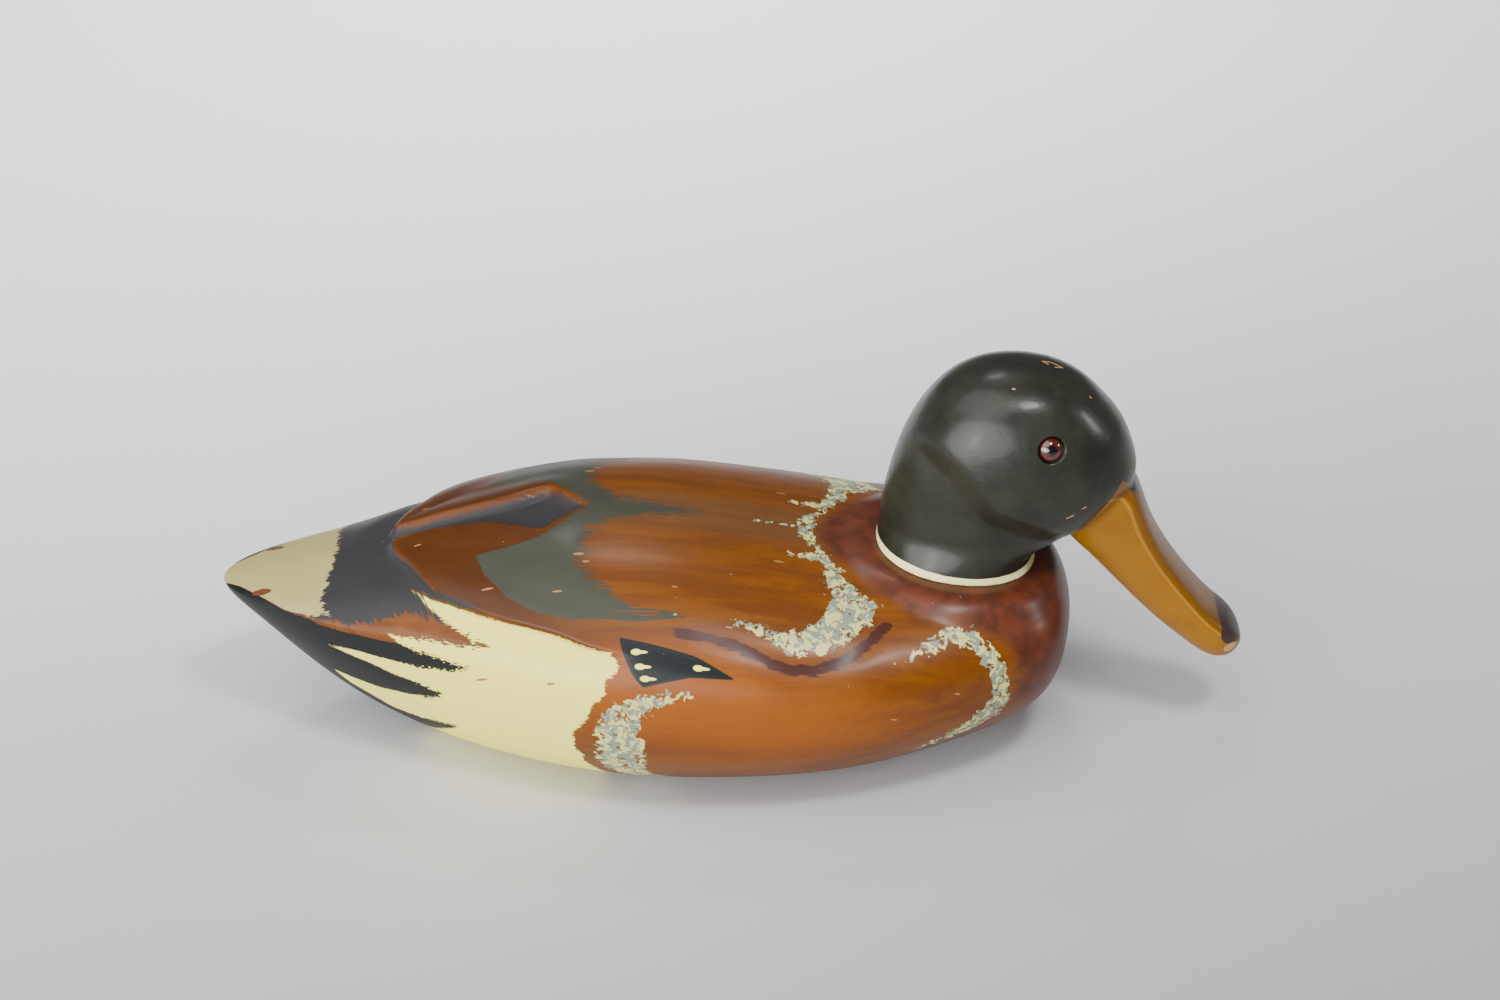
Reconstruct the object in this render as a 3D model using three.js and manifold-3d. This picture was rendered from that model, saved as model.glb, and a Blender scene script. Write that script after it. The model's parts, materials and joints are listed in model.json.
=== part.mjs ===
// A floating duck decoy: a hollowed carved body with a let-in bottom board, a head that turns on a
// neck dowel, glass eyes, a ballast weight and an anchor line ring. Millimetres, +Z up, bill towards +X.
// The origin is on the flat bottom, at the middle of the body's length.
import * as THREE from "three";
import { mergeVertices } from "three/addons/utils/BufferGeometryUtils.js";
import Module from "manifold-3d";

const wasm = await Module();
wasm.setup();

// ---- driving dimensions -------------------------------------------------------------------
const bodyLength = 334;
const bodyHalfWidth = 77;
const backHeight = 96.5;
const headHeight = 85; // crown above the neck seat
const headWidthScale = 1;
const billReach = 68; // how far the bill's spine runs forward of its root
const fitGap = 0.3; // between pieces that touch or fit

const boardHalfLength = 76;
const boardHalfWidth = 31;
const boardThickness = 12;
const boardCentreX = -5;
const shelfWidth = 12; // ledge in the body that the board seats on
const sealThickness = 1.2;
const roofWall = 20; // wood left above the hollow
const hollowRounding = 6;

const screwShankRadius = 1.75;
const screwHeadRadius = 3.6;
const boardScrewLength = 25;
const boardScrewCount = 6;
const screwSink = 0.4; // screw heads lie this far inside the face

const ballastLength = 84;
const ballastWidth = 24;
const ballastThickness = 6;
const ballastScrewLength = 9.6;
const ballastScrewSpacing = 56;

const neckFromMiddle = 120; // neck axis ahead of the body's middle, on the seat
const neckRadius = 31.5;
const neckNarrowing = 2.2; // the neck's foot is this much less than round, each side
const neckTilt = THREE.MathUtils.degToRad(7); // the seat and the neck axis lean forward
const seatBelowBack = 2.6; // how deep the seat is cut below the back line
const seatMargin = 2; // the flat seat is this much wider than the neck
const dowelRadius = 8;
const dowelInBody = 22;
const dowelInHead = 24;
const neckScrewRadius = 2.5;
const neckScrewHeadRadius = 5;
const neckScrewHeadHeight = 3.6;
const neckScrewInDowel = 17;
const washerRadius = 7.5;
const washerThickness = 1.5;
const counterboreRadius = 8.3;
const shoulderDepth = 56; // from the seat down to the screw's shoulder
const plugThickness = 12;

const eyeRadius = 5;
const eyeDome = 2.8;
const eyeBase = 4;
const eyeSink = 1; // the dome starts this deep in its socket
const eyeHeight = 60; // above the neck seat
const eyeAround = THREE.MathUtils.degToRad(74); // from straight ahead, round each side

const wireRadius = 1;
const lineEyeRadius = 3.5; // middle of the wire
const lineEyeShank = 16;
const lineEyeFromMiddle = 147;
const lineEyeStandOff = 5;
const lineRingRadius = 6; // middle of the wire
const lineRingLean = THREE.MathUtils.degToRad(55); // at rest the ring leans back under the breast

// ---- colours ------------------------------------------------------------------------------
const finishes = {
  stainedWood: { color: 0x9a5520, roughness: 0.45, metalness: 0 },
  bareWood: { color: 0xb98c58, roughness: 0.75, metalness: 0 },
  headPaint: { color: 0x2c2f24, roughness: 0.3, metalness: 0 },
  hardwood: { color: 0xc29a66, roughness: 0.6, metalness: 0 },
  glass: { color: 0x5a1a10, roughness: 0.05, metalness: 0 },
  lead: { color: 0x6c6f72, roughness: 0.6, metalness: 0.8 },
  brass: { color: 0xb08d45, roughness: 0.4, metalness: 1 },
  steel: { color: 0x9a9c9e, roughness: 0.4, metalness: 1 },
  cork: { color: 0x8a6a45, roughness: 0.9, metalness: 0 },
};

// ---- small helpers ------------------------------------------------------------------------
const decoy = new THREE.Group();

function addPiece(name, geometry, finish) {
  const mesh = new THREE.Mesh(geometry, new THREE.MeshStandardMaterial(finishes[finish]));
  mesh.name = name;
  decoy.add(mesh);
}

function toSolid(geometry) {
  const bare = geometry.clone();
  bare.deleteAttribute("normal");
  bare.deleteAttribute("uv");
  const merged = mergeVertices(bare, 1e-4);
  return new wasm.Manifold(
    new wasm.Mesh({
      numProp: 3,
      vertProperties: merged.attributes.position.array,
      triVerts: new Uint32Array(merged.index.array),
    }),
  );
}

function toGeometry(solid) {
  const mesh = solid.getMesh();
  const geometry = new THREE.BufferGeometry();
  geometry.setAttribute("position", new THREE.BufferAttribute(mesh.vertProperties, mesh.numProp));
  geometry.setIndex(new THREE.BufferAttribute(mesh.triVerts, 1));
  return geometry;
}

// A natural cubic spline through [position, value] pairs.
function smoothCurve(points) {
  const last = points.length - 1;
  const upper = new Array(last + 1).fill(0);
  const bend = new Array(last + 1).fill(0);
  for (let i = 1; i < last; i++) {
    const [before, here, after] = [points[i - 1], points[i], points[i + 1]];
    const left = here[0] - before[0];
    const right = after[0] - here[0];
    const slopeChange = (after[1] - here[1]) / right - (here[1] - before[1]) / left;
    const pivot = 2 * (left + right) - left * upper[i - 1];
    upper[i] = right / pivot;
    bend[i] = (6 * slopeChange - left * bend[i - 1]) / pivot;
  }
  for (let i = last - 1; i > 0; i--) {
    bend[i] -= upper[i] * bend[i + 1];
  }
  return (position) => {
    const at = THREE.MathUtils.clamp(position, points[0][0], points[last][0]);
    let i = 0;
    while (i < last - 1 && at > points[i + 1][0]) i++;
    const [start, end] = [points[i], points[i + 1]];
    const span = end[0] - start[0];
    const toEnd = end[0] - at;
    const fromStart = at - start[0];
    const curved = (bend[i] * toEnd ** 3 + bend[i + 1] * fromStart ** 3) / (6 * span);
    const fromFirst = (start[1] / span - (bend[i] * span) / 6) * toEnd;
    const fromSecond = (end[1] / span - (bend[i + 1] * span) / 6) * fromStart;
    return curved + fromFirst + fromSecond;
  };
}

const rounded = (value, exponent) => Math.sign(value) * Math.abs(value) ** (2 / exponent);

// A unit sphere whose vertices are moved by place(polar, around), polar being 0 at its first pole.
function shapedSphere(aroundSteps, polarSteps, place) {
  const sphere = new THREE.SphereGeometry(1, aroundSteps, polarSteps);
  const position = sphere.attributes.position;
  for (let i = 0; i < position.count; i++) {
    const [x, y, z] = [position.getX(i), position.getY(i), position.getZ(i)];
    const polar = Math.acos(THREE.MathUtils.clamp(y, -1, 1));
    position.setXYZ(i, ...place(polar, Math.atan2(z, x)));
  }
  return sphere;
}

function flipped(geometry) {
  const indices = geometry.index.array;
  for (let i = 0; i < indices.length; i += 3) {
    [indices[i + 1], indices[i + 2]] = [indices[i + 2], indices[i + 1]];
  }
  return geometry;
}

function ellipsePlate(halfLength, halfWidth, bottom, top, rounding = 0) {
  const outline = new THREE.Shape();
  outline.absellipse(0, 0, halfLength - rounding, halfWidth - rounding, 0, 2 * Math.PI, false, 0);
  const plate = new THREE.ExtrudeGeometry(outline, {
    depth: top - bottom - 2 * rounding,
    curveSegments: 28,
    bevelEnabled: rounding > 0,
    bevelThickness: rounding,
    bevelSize: rounding,
    bevelSegments: 3,
  });
  plate.translate(boardCentreX, 0, bottom + rounding);
  return plate;
}

// A round bar along its own Z from bottom to top.
function roundBar(radius, bottom, top, sides = 20) {
  const bar = new THREE.CylinderGeometry(radius, radius, top - bottom, sides);
  bar.rotateX(Math.PI / 2);
  bar.translate(0, 0, (bottom + top) / 2);
  return bar;
}

function turned(points, sides = 16) {
  const profile = points.map(([radius, height]) => new THREE.Vector2(radius, height));
  const lathe = new THREE.LatheGeometry(profile, sides);
  lathe.rotateX(Math.PI / 2);
  return lathe;
}

// A countersunk wood screw driven upwards, its head's face at height 0; extra widens it all round.
function woodScrew(length, extra = 0) {
  const head = screwHeadRadius + extra;
  const shank = screwShankRadius + extra;
  return turned(
    [
      [0, -extra],
      [head, -extra],
      [head, 0.5],
      [shank, 0.5 + head - shank],
      [shank, length - 3 + extra],
      [0, length + extra],
    ],
    12,
  );
}

// ---- the body's surface -------------------------------------------------------------------
// Stations run from the tail tip to the breast, in millimetres from the middle of a body that is
// 334 long, 154 wide and 96.5 high; the driving sizes stretch them.
const stationSpan = 334;
const tailStation = -168;
const breastStation = tailStation + stationSpan;
const lengthScale = bodyLength / stationSpan;
const widthScale = bodyHalfWidth / 77;
const heightScale = backHeight / 96.5;

const stationAngle = (station) => Math.acos(1 - (2 * (station - tailStation)) / stationSpan);
const alongBody = (points) =>
  smoothCurve(points.map(([station, value]) => [stationAngle(station), value]));

const tailTipHeight = 62.5;
const breastTipHeight = 55.5;
const bodyCurves = {
  beam: alongBody([
    [-168, 0], [-150, 20], [-120, 35], [-80, 51], [-40, 66], [0, 75],
    [40, 77], [80, 73], [115, 63], [145, 48], [160, 33], [166, 0],
  ]),
  beamHeight: alongBody([
    [-168, tailTipHeight], [-120, 63.5], [-80, 60.5], [-40, 53.5], [0, 50],
    [40, 49], [80, 51], [115, 53.5], [145, 53.5], [166, breastTipHeight],
  ]),
  back: alongBody([
    [-168, tailTipHeight], [-150, 67], [-120, 74], [-80, 88], [-40, 95], [0, 96.5],
    [40, 91.5], [80, 85.5], [115, 84], [145, 81], [160, 72], [166, breastTipHeight],
  ]),
  keel: alongBody([
    [-168, tailTipHeight], [-150, 43.5], [-120, 16], [-80, -3], [-40, -7], [0, -6],
    [40, -4], [80, -2], [115, 4.5], [145, 14], [160, 28], [166, breastTipHeight],
  ]),
  upperRoundness: alongBody([[-168, 1.7], [-120, 1.7], [-60, 2.2], [0, 2.3], [100, 2.1], [166, 2]]),
  lowerRoundness: alongBody([[-168, 1.8], [-100, 2], [0, 2.3], [100, 2.2], [166, 2]]),
};

const stationX = (angle) =>
  lengthScale * (tailStation + (stationSpan * (1 - Math.cos(angle))) / 2);

function bodyPoint(angle, around) {
  const side = Math.cos(around);
  const up = Math.sin(around);
  const roundness = up >= 0 ? bodyCurves.upperRoundness(angle) : bodyCurves.lowerRoundness(angle);
  const beamHeight = bodyCurves.beamHeight(angle);
  const reach = up >= 0 ? bodyCurves.back(angle) - beamHeight : beamHeight - bodyCurves.keel(angle);
  return [
    stationX(angle),
    widthScale * Math.max(bodyCurves.beam(angle), 0) * rounded(side, roundness),
    heightScale * (beamHeight + Math.max(reach, 0) * rounded(up, roundness)),
  ];
}

const angleAtX = (x) => stationAngle(x / lengthScale);
const backHeightAt = (x) => heightScale * bodyCurves.back(angleAtX(x));
const keelHeightAt = (x) => heightScale * bodyCurves.keel(angleAtX(x));

function belowGround() {
  const box = new THREE.BoxGeometry(2 * bodyLength, 4 * bodyHalfWidth, backHeight);
  box.translate(0, 0, -backHeight / 2);
  return toSolid(box);
}

const bodySkin = toSolid(shapedSphere(44, 52, bodyPoint)).subtract(belowGround());

// ---- the neck's frame ---------------------------------------------------------------------
const neckX = neckFromMiddle * lengthScale;
const seatHeight = backHeightAt(neckX) - seatBelowBack;
const neckPlace = new THREE.Matrix4()
  .makeRotationY(neckTilt)
  .setPosition(neckX, 0, seatHeight);
const onNeck = (geometry) => geometry.applyMatrix4(neckPlace);

// A disc in the neck's frame, a little wider than the neck, that trims the head flat at its seat.
function seatSlab(bottom, top) {
  return toSolid(onNeck(roundBar(neckRadius * 1.2, bottom, top, 32)));
}

// ---- the bottom board, its seal and the hollow --------------------------------------------
const sealBottom = boardThickness + fitGap;
const shelfHeight = sealBottom + sealThickness + fitGap;
const hollowHalfLength = boardHalfLength - shelfWidth;
const hollowHalfWidth = boardHalfWidth - shelfWidth;
const hollowTop = backHeight - roofWall;

const screwPlaces = [];
for (let i = 0; i < boardScrewCount; i++) {
  const turn = ((i + 0.5) * 2 * Math.PI) / boardScrewCount;
  screwPlaces.push([
    boardCentreX + (boardHalfLength - shelfWidth / 2) * Math.cos(turn),
    (boardHalfWidth - shelfWidth / 2) * Math.sin(turn),
  ]);
}

const screwAt = (x, y, length, extra) => woodScrew(length, extra).translate(x, y, screwSink);

const ballastScrewPlaces = [-0.5, 0.5].map((side) => boardCentreX + side * ballastScrewSpacing);

function ballastBlock(extra) {
  const [halfLength, halfWidth] = [ballastLength / 2 + extra, ballastWidth / 2 + extra];
  const corner = 3;
  const outline = new THREE.Shape();
  outline.moveTo(-halfLength + corner, -halfWidth);
  outline.lineTo(halfLength - corner, -halfWidth);
  outline.absarc(halfLength - corner, -halfWidth + corner, corner, -Math.PI / 2, 0);
  outline.absarc(halfLength - corner, halfWidth - corner, corner, 0, Math.PI / 2);
  outline.absarc(-halfLength + corner, halfWidth - corner, corner, Math.PI / 2, Math.PI);
  outline.absarc(-halfLength + corner, -halfWidth + corner, corner, Math.PI, 1.5 * Math.PI);
  const block = new THREE.ExtrudeGeometry(outline, {
    depth: ballastThickness + extra * 2,
    bevelEnabled: false,
    curveSegments: 4,
  });
  block.translate(boardCentreX, 0, -extra);
  return block;
}

function makeBottomBoard() {
  const plate = ellipsePlate(boardHalfLength - fitGap, boardHalfWidth - fitGap, 0, boardThickness);
  let board = toSolid(plate).subtract(toSolid(ballastBlock(fitGap)));
  for (const [x, y] of screwPlaces) {
    board = board.subtract(toSolid(screwAt(x, y, boardScrewLength, fitGap)));
  }
  for (const x of ballastScrewPlaces) {
    board = board.subtract(toSolid(screwAt(x, 0, ballastScrewLength, fitGap)));
  }
  return board;
}

function makeSeal() {
  const top = sealBottom + sealThickness;
  const outer = ellipsePlate(boardHalfLength - fitGap, boardHalfWidth - fitGap, sealBottom, top);
  const inner = ellipsePlate(hollowHalfLength, hollowHalfWidth, sealBottom - 1, top + 1);
  let seal = toSolid(outer).subtract(toSolid(inner));
  for (const [x, y] of screwPlaces) {
    seal = seal.subtract(toSolid(screwAt(x, y, boardScrewLength, fitGap)));
  }
  return seal;
}

function makeBallast() {
  let ballast = toSolid(ballastBlock(0));
  for (const x of ballastScrewPlaces) {
    ballast = ballast.subtract(toSolid(screwAt(x, 0, ballastScrewLength, fitGap)));
  }
  return ballast;
}

// ---- the neck's dowel, screw, washer and plug ----------------------------------------------
const washerTop = -shoulderDepth - fitGap;
const washerBottom = washerTop - washerThickness;
const screwHeadTop = washerBottom - fitGap;
const screwHeadBottom = screwHeadTop - neckScrewHeadHeight;
const plugTop = screwHeadBottom - 1;
const belowHull = -(seatHeight + 30);

function neckScrew(extra) {
  const screwTop = -dowelInBody + neckScrewInDowel;
  return turned([
    [0, screwHeadBottom],
    [neckScrewHeadRadius, screwHeadBottom],
    [neckScrewHeadRadius, screwHeadTop],
    [neckScrewRadius + extra, screwHeadTop],
    [neckScrewRadius + extra, screwTop - 3 + extra],
    [0, screwTop + extra],
  ]);
}

function makeDowel() {
  const dowel = toSolid(onNeck(roundBar(dowelRadius, -dowelInBody, dowelInHead)));
  return dowel.subtract(toSolid(onNeck(neckScrew(fitGap))));
}

function makeWasher() {
  const disc = toSolid(onNeck(roundBar(washerRadius, washerBottom, washerTop)));
  const hole = roundBar(neckScrewRadius + fitGap, washerBottom - 1, washerTop + 1, 16);
  return disc.subtract(toSolid(onNeck(hole)));
}

function makePlug() {
  const radius = counterboreRadius - fitGap;
  const bar = toSolid(onNeck(roundBar(radius, plugTop - plugThickness - 40, plugTop)));
  return bar.intersect(bodySkin);
}

// ---- the anchor line's eye and ring -------------------------------------------------------
const lineEyeX = lineEyeFromMiddle * lengthScale;
const hullSlope = keelHeightAt(lineEyeX + 0.5) - keelHeightAt(lineEyeX - 0.5);
const hullNormal = new THREE.Vector3(hullSlope, 0, -1).normalize();
const lineEyeCentre = new THREE.Vector3(lineEyeX, 0, keelHeightAt(lineEyeX)).addScaledVector(
  hullNormal,
  lineEyeStandOff,
);
const lineRingTop = lineEyeCentre.z - (lineEyeRadius - 2 * wireRadius - fitGap);

function lineEyeShankBar(extra) {
  const bar = roundBar(wireRadius * 1.2 + extra, lineEyeRadius - 0.3, lineEyeShank + extra, 12);
  const inward = hullNormal.clone().negate();
  const turn = new THREE.Quaternion().setFromUnitVectors(new THREE.Vector3(0, 0, 1), inward);
  bar.applyQuaternion(turn);
  bar.translate(...lineEyeCentre.toArray());
  return toSolid(bar);
}

function makeLineEye() {
  const loop = new THREE.TorusGeometry(lineEyeRadius, wireRadius, 8, 20);
  loop.rotateX(Math.PI / 2);
  loop.translate(...lineEyeCentre.toArray());
  return toSolid(loop).add(lineEyeShankBar(0));
}

function makeLineRing() {
  const ring = new THREE.TorusGeometry(lineRingRadius, wireRadius, 8, 28);
  ring.rotateY(Math.PI / 2);
  ring.translate(0, 0, -lineRingRadius);
  ring.rotateY(lineRingLean);
  ring.translate(lineEyeCentre.x, 0, lineRingTop);
  return ring;
}

// ---- the carved body ----------------------------------------------------------------------
function makeBody() {
  const cuts = [
    toSolid(ellipsePlate(boardHalfLength, boardHalfWidth, -5, shelfHeight)),
    toSolid(ellipsePlate(hollowHalfLength, hollowHalfWidth, 0, hollowTop, hollowRounding)),
    toSolid(onNeck(roundBar(neckRadius + seatMargin, 0, 40, 48))),
    toSolid(onNeck(roundBar(dowelRadius + fitGap, -dowelInBody - fitGap, 5))),
    toSolid(onNeck(roundBar(neckScrewRadius + fitGap, -shoulderDepth - 5, 0, 16))),
    toSolid(onNeck(roundBar(counterboreRadius, belowHull, -shoulderDepth))),
    lineEyeShankBar(fitGap),
  ];
  for (const [x, y] of screwPlaces) {
    cuts.push(toSolid(screwAt(x, y, boardScrewLength, fitGap)));
  }
  return cuts.reduce((body, cut) => body.subtract(cut), bodySkin);
}

// ---- the head and bill --------------------------------------------------------------------
// Levels run from below the seat to the crown, in a head whose crown is 85 above level 78; each
// level gives the back, the front and the half width.
const levelBase = 78;
const crownLevel = levelBase + 85;
const crownStation = 138;
const neckStation = 120;
const seatLevel = 81.5;
const headScale = headHeight / 85;
const neckReach = neckRadius / headScale;
const headLevels = [
  [78, neckStation - neckReach, neckStation + neckReach, neckReach - neckNarrowing],
  [86, neckStation - neckReach + 0.9, neckStation + neckReach + 0.5, neckReach - neckNarrowing - 0.3],
  [93, 90.2, 164, 29.6],
  [100, 90.8, 173.5, 30.4],
  [109, 92.4, 182.8, 31.4],
  [118, 94.5, 187.8, 32],
  [128, 97.3, 186.4, 31.5],
  [138, 101.5, 182.2, 29.6],
  [147, 107.2, 175.2, 26.2],
  [155, 114.6, 166.8, 21.2],
];
const headRoundness = 2.15;

const levelAngle = (level) => Math.acos((level - levelBase) / (crownLevel - levelBase));
const crownDown = [...headLevels].reverse();
const headCurve = (atCrown, measure) =>
  smoothCurve([[0, atCrown], ...crownDown.map((row) => [levelAngle(row[0]), measure(row)])]);
const headMiddle = headCurve(crownStation, (row) => (row[1] + row[2]) / 2);
const headHalfLength = headCurve(0, (row) => (row[2] - row[1]) / 2);
const headHalfWidth = headCurve(0, (row) => row[3]);

const fromStation = (station) => neckX + headScale * (station - neckStation);
const fromLevel = (level) => seatHeight + headScale * (level - seatLevel);

function headPoint(polar, around) {
  const below = Math.max(polar - Math.PI / 2, 0); // the stub under the seat, cut off later
  const angle = Math.min(polar, Math.PI / 2);
  const level = levelBase + (crownLevel - levelBase) * Math.cos(angle) - 10 * below;
  const shrink = Math.cos(below);
  const forward = headHalfLength(angle) * shrink * rounded(Math.cos(around), headRoundness);
  const sideways = headHalfWidth(angle) * shrink * rounded(Math.sin(around), headRoundness);
  return [
    fromStation(headMiddle(angle) + forward),
    -headScale * headWidthScale * sideways,
    fromLevel(level),
  ];
}

// The bill's spine, half thickness and half width, from its root inside the face to the tip.
const billRoot = 166;
const billStation = (share) => billRoot + billReach * share;
const billAngle = (share) => Math.acos(1 - 2 * share);
const spineLevels = [
  [0, 116], [0.12, 103], [0.24, 90], [0.36, 78], [0.49, 66.5],
  [0.62, 56.5], [0.74, 48.5], [0.86, 42], [1, 37],
];
const billSpine = smoothCurve(spineLevels.map(([share, level]) => [billStation(share), level]));
const alongBill = (points) => smoothCurve(points.map(([share, size]) => [billAngle(share), size]));
const billHalfThickness = alongBill([
  [0, 0], [0.12, 17], [0.24, 14.4], [0.36, 12.1], [0.49, 10.8],
  [0.62, 9.7], [0.74, 8.8], [0.86, 8.4], [1, 0],
]);
const billHalfWidth = alongBill([
  [0, 0], [0.12, 15.8], [0.24, 15], [0.36, 14.4], [0.49, 14],
  [0.62, 14.4], [0.74, 14.8], [0.86, 14], [1, 0],
]);
const billRoundness = 2.2;

function billPoint(polar, around) {
  const station = billRoot + (billReach * (1 - Math.cos(polar))) / 2;
  const slope = billSpine(station + 0.5) - billSpine(station - 0.5);
  const length = Math.hypot(1, slope);
  const thick = billHalfThickness(polar) * rounded(Math.sin(around), billRoundness);
  const wide = billHalfWidth(polar) * rounded(Math.cos(around), billRoundness);
  return [
    fromStation(station - (slope / length) * thick),
    headScale * headWidthScale * wide,
    fromLevel(billSpine(station) + thick / length),
  ];
}

// The middle of an eye on the head's surface and the way it looks; side is 1 left, -1 right.
function eyeMatrix(side) {
  const polar = levelAngle(seatLevel + eyeHeight);
  const around = -side * eyeAround;
  const at = (p, a) => new THREE.Vector3(...headPoint(p, a));
  const step = 0.01;
  const down = at(polar + step, around).sub(at(polar - step, around));
  const sweep = at(polar, around + step).sub(at(polar, around - step));
  const outward = down.cross(sweep).normalize();
  if (outward.y * side < 0) outward.negate();
  const turn = new THREE.Quaternion().setFromUnitVectors(new THREE.Vector3(0, 0, 1), outward);
  const place = at(polar, around).addScaledVector(outward, -eyeSink);
  return new THREE.Matrix4().compose(place, turn, new THREE.Vector3(1, 1, 1));
}

function makeEye(side) {
  const profile = [[0, -eyeBase], [eyeRadius - 0.3, -eyeBase], [eyeRadius, -eyeBase + 0.3]];
  const steps = 6;
  for (let i = 0; i < steps; i++) {
    const turn = (i * Math.PI) / 2 / steps;
    profile.push([eyeRadius * Math.cos(turn), eyeDome * Math.sin(turn)]);
  }
  profile.push([0, eyeDome]);
  return turned(profile, 24).applyMatrix4(eyeMatrix(side));
}

function makeHead() {
  const skull = toSolid(shapedSphere(36, 34, headPoint));
  const bill = toSolid(shapedSphere(22, 22, billPoint));
  let head = skull.add(bill).subtract(seatSlab(-60, fitGap));
  head = head.subtract(toSolid(onNeck(roundBar(dowelRadius + fitGap, -5, dowelInHead + fitGap))));
  for (const side of [1, -1]) {
    const socket = roundBar(eyeRadius + fitGap, -eyeBase - fitGap, 6, 24);
    head = head.subtract(toSolid(socket.applyMatrix4(eyeMatrix(side))));
  }
  return head;
}

// ---- the assembly -------------------------------------------------------------------------
addPiece("body_block", toGeometry(makeBody()), "stainedWood");
addPiece("bottom_board", toGeometry(makeBottomBoard()), "bareWood");
addPiece("board_seal", toGeometry(makeSeal()), "cork");
screwPlaces.forEach(([x, y], i) => {
  addPiece(`board_screw_${i + 1}`, screwAt(x, y, boardScrewLength), "brass");
});
addPiece("ballast_weight", toGeometry(makeBallast()), "lead");
ballastScrewPlaces.forEach((x, i) => {
  addPiece(`ballast_screw_${i + 1}`, screwAt(x, 0, ballastScrewLength), "brass");
});
addPiece("head", toGeometry(makeHead()), "headPaint");
addPiece("neck_dowel", toGeometry(makeDowel()), "hardwood");
addPiece("neck_screw", onNeck(neckScrew(0)), "steel");
addPiece("neck_washer", toGeometry(makeWasher()), "steel");
addPiece("neck_plug", toGeometry(makePlug()), "hardwood");
addPiece("eye_left", makeEye(1), "glass");
addPiece("eye_right", makeEye(-1), "glass");
addPiece("line_eye", toGeometry(makeLineEye()), "brass");
addPiece("line_ring", makeLineRing(), "brass");

export default decoy;
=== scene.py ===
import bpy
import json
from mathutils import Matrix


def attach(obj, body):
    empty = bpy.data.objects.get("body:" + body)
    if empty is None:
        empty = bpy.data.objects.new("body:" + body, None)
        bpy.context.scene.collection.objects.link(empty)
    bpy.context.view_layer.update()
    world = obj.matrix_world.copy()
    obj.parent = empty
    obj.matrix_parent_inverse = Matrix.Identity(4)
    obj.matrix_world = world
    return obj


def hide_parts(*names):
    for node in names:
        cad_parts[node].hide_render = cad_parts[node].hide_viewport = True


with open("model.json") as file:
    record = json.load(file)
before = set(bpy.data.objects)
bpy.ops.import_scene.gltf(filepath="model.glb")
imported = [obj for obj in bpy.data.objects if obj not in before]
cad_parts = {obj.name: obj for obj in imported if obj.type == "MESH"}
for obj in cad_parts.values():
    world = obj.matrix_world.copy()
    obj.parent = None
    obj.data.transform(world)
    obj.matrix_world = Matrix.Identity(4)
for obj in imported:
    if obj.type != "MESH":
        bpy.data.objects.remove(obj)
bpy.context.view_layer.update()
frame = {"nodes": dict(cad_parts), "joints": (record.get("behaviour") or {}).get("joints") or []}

import json
import math

import bmesh
import bpy
import numpy as np
from mathutils import Matrix, Vector

mm = 0.001
scene = bpy.context.scene
nodes = frame["nodes"]
joints = {joint["name"]: joint for joint in frame["joints"]}


# camera, lights and floor

view = {
    "turn": 1.74,  # degrees round from straight at the duck's right side
    "height": 33.04,  # degrees above the horizon
    "roll": -0.42,
    "distance": 1.1,
    "lens": 68.23,
    "aim": Vector((0.0404, 0, 0.1004)),
}


def lookFrom(turn, height):
    # unit direction from the duck towards a place round it
    turn, height = math.radians(turn), math.radians(height)
    level = math.cos(height)
    return Vector((math.sin(turn) * level, -math.cos(turn) * level, math.sin(height)))


def makeCamera():
    data = bpy.data.cameras.new("camera")
    data.lens = view["lens"]
    data.clip_start = 0.01
    camera = bpy.data.objects.new("camera", data)
    scene.collection.objects.link(camera)
    back = lookFrom(view["turn"], view["height"])
    camera.location = view["aim"] + back * view["distance"]
    facing = (-back).to_track_quat("-Z", "Y")
    roll = Matrix.Rotation(math.radians(view["roll"]), 3, "Z")
    camera.rotation_euler = (facing.to_matrix() @ roll).to_euler()
    scene.camera = camera


softboxes = {
    # turn, height, distance, width, height of the box, power
    "keyTop": (38, 62, 1.5, 0.36, 0.24, 12),
    "sideRight": (89, 22, 1.6, 0.2, 0.24, 3.4),
    "frontFill": (-30, 16, 2.0, 2.6, 1.2, 64),
    "overhead": (-52, 60, 2.3, 2.9, 2.3, 50),
    "cheekGlint": (-30, 15, 2.0, 0.34, 0.3, 4.5),
}
lampAim = Vector((0.02, 0, 0.08))
# straight above the floor behind the duck; the beam is in degrees
backdropLamp = {"place": (-0.1, 1.0, 1.5), "size": 0.5, "beam": 78, "power": 8}


def addLamp(name, place, facing, power, **settings):
    data = bpy.data.lights.new(name, "AREA")
    data.energy = power
    for key, value in settings.items():
        setattr(data, key, value)
    lamp = bpy.data.objects.new(name, data)
    lamp.location = place
    lamp.rotation_euler = facing
    scene.collection.objects.link(lamp)


def makeLights():
    for name, (turn, height, distance, width, tall, power) in softboxes.items():
        toLamp = lookFrom(turn, height)
        facing = (-toLamp).to_track_quat("-Z", "Y").to_euler()
        place = lampAim + toLamp * distance
        addLamp(name, place, facing, power, shape="ELLIPSE", size=width, size_y=tall)
    addLamp("backdropLamp", backdropLamp["place"], (0, 0, 0), backdropLamp["power"], shape="DISK",
            size=backdropLamp["size"], spread=math.radians(backdropLamp["beam"]))


makeCamera()
makeLights()
print("camera and lights made")


# shader building

def tone(red, green, blue):
    # a display colour, 0 to 255, as the linear colour that shaders take
    def linear(value):
        value /= 255
        return value / 12.92 if value <= 0.04045 else ((value + 0.055) / 1.055) ** 2.4

    return (linear(red), linear(green), linear(blue), 1)


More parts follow.
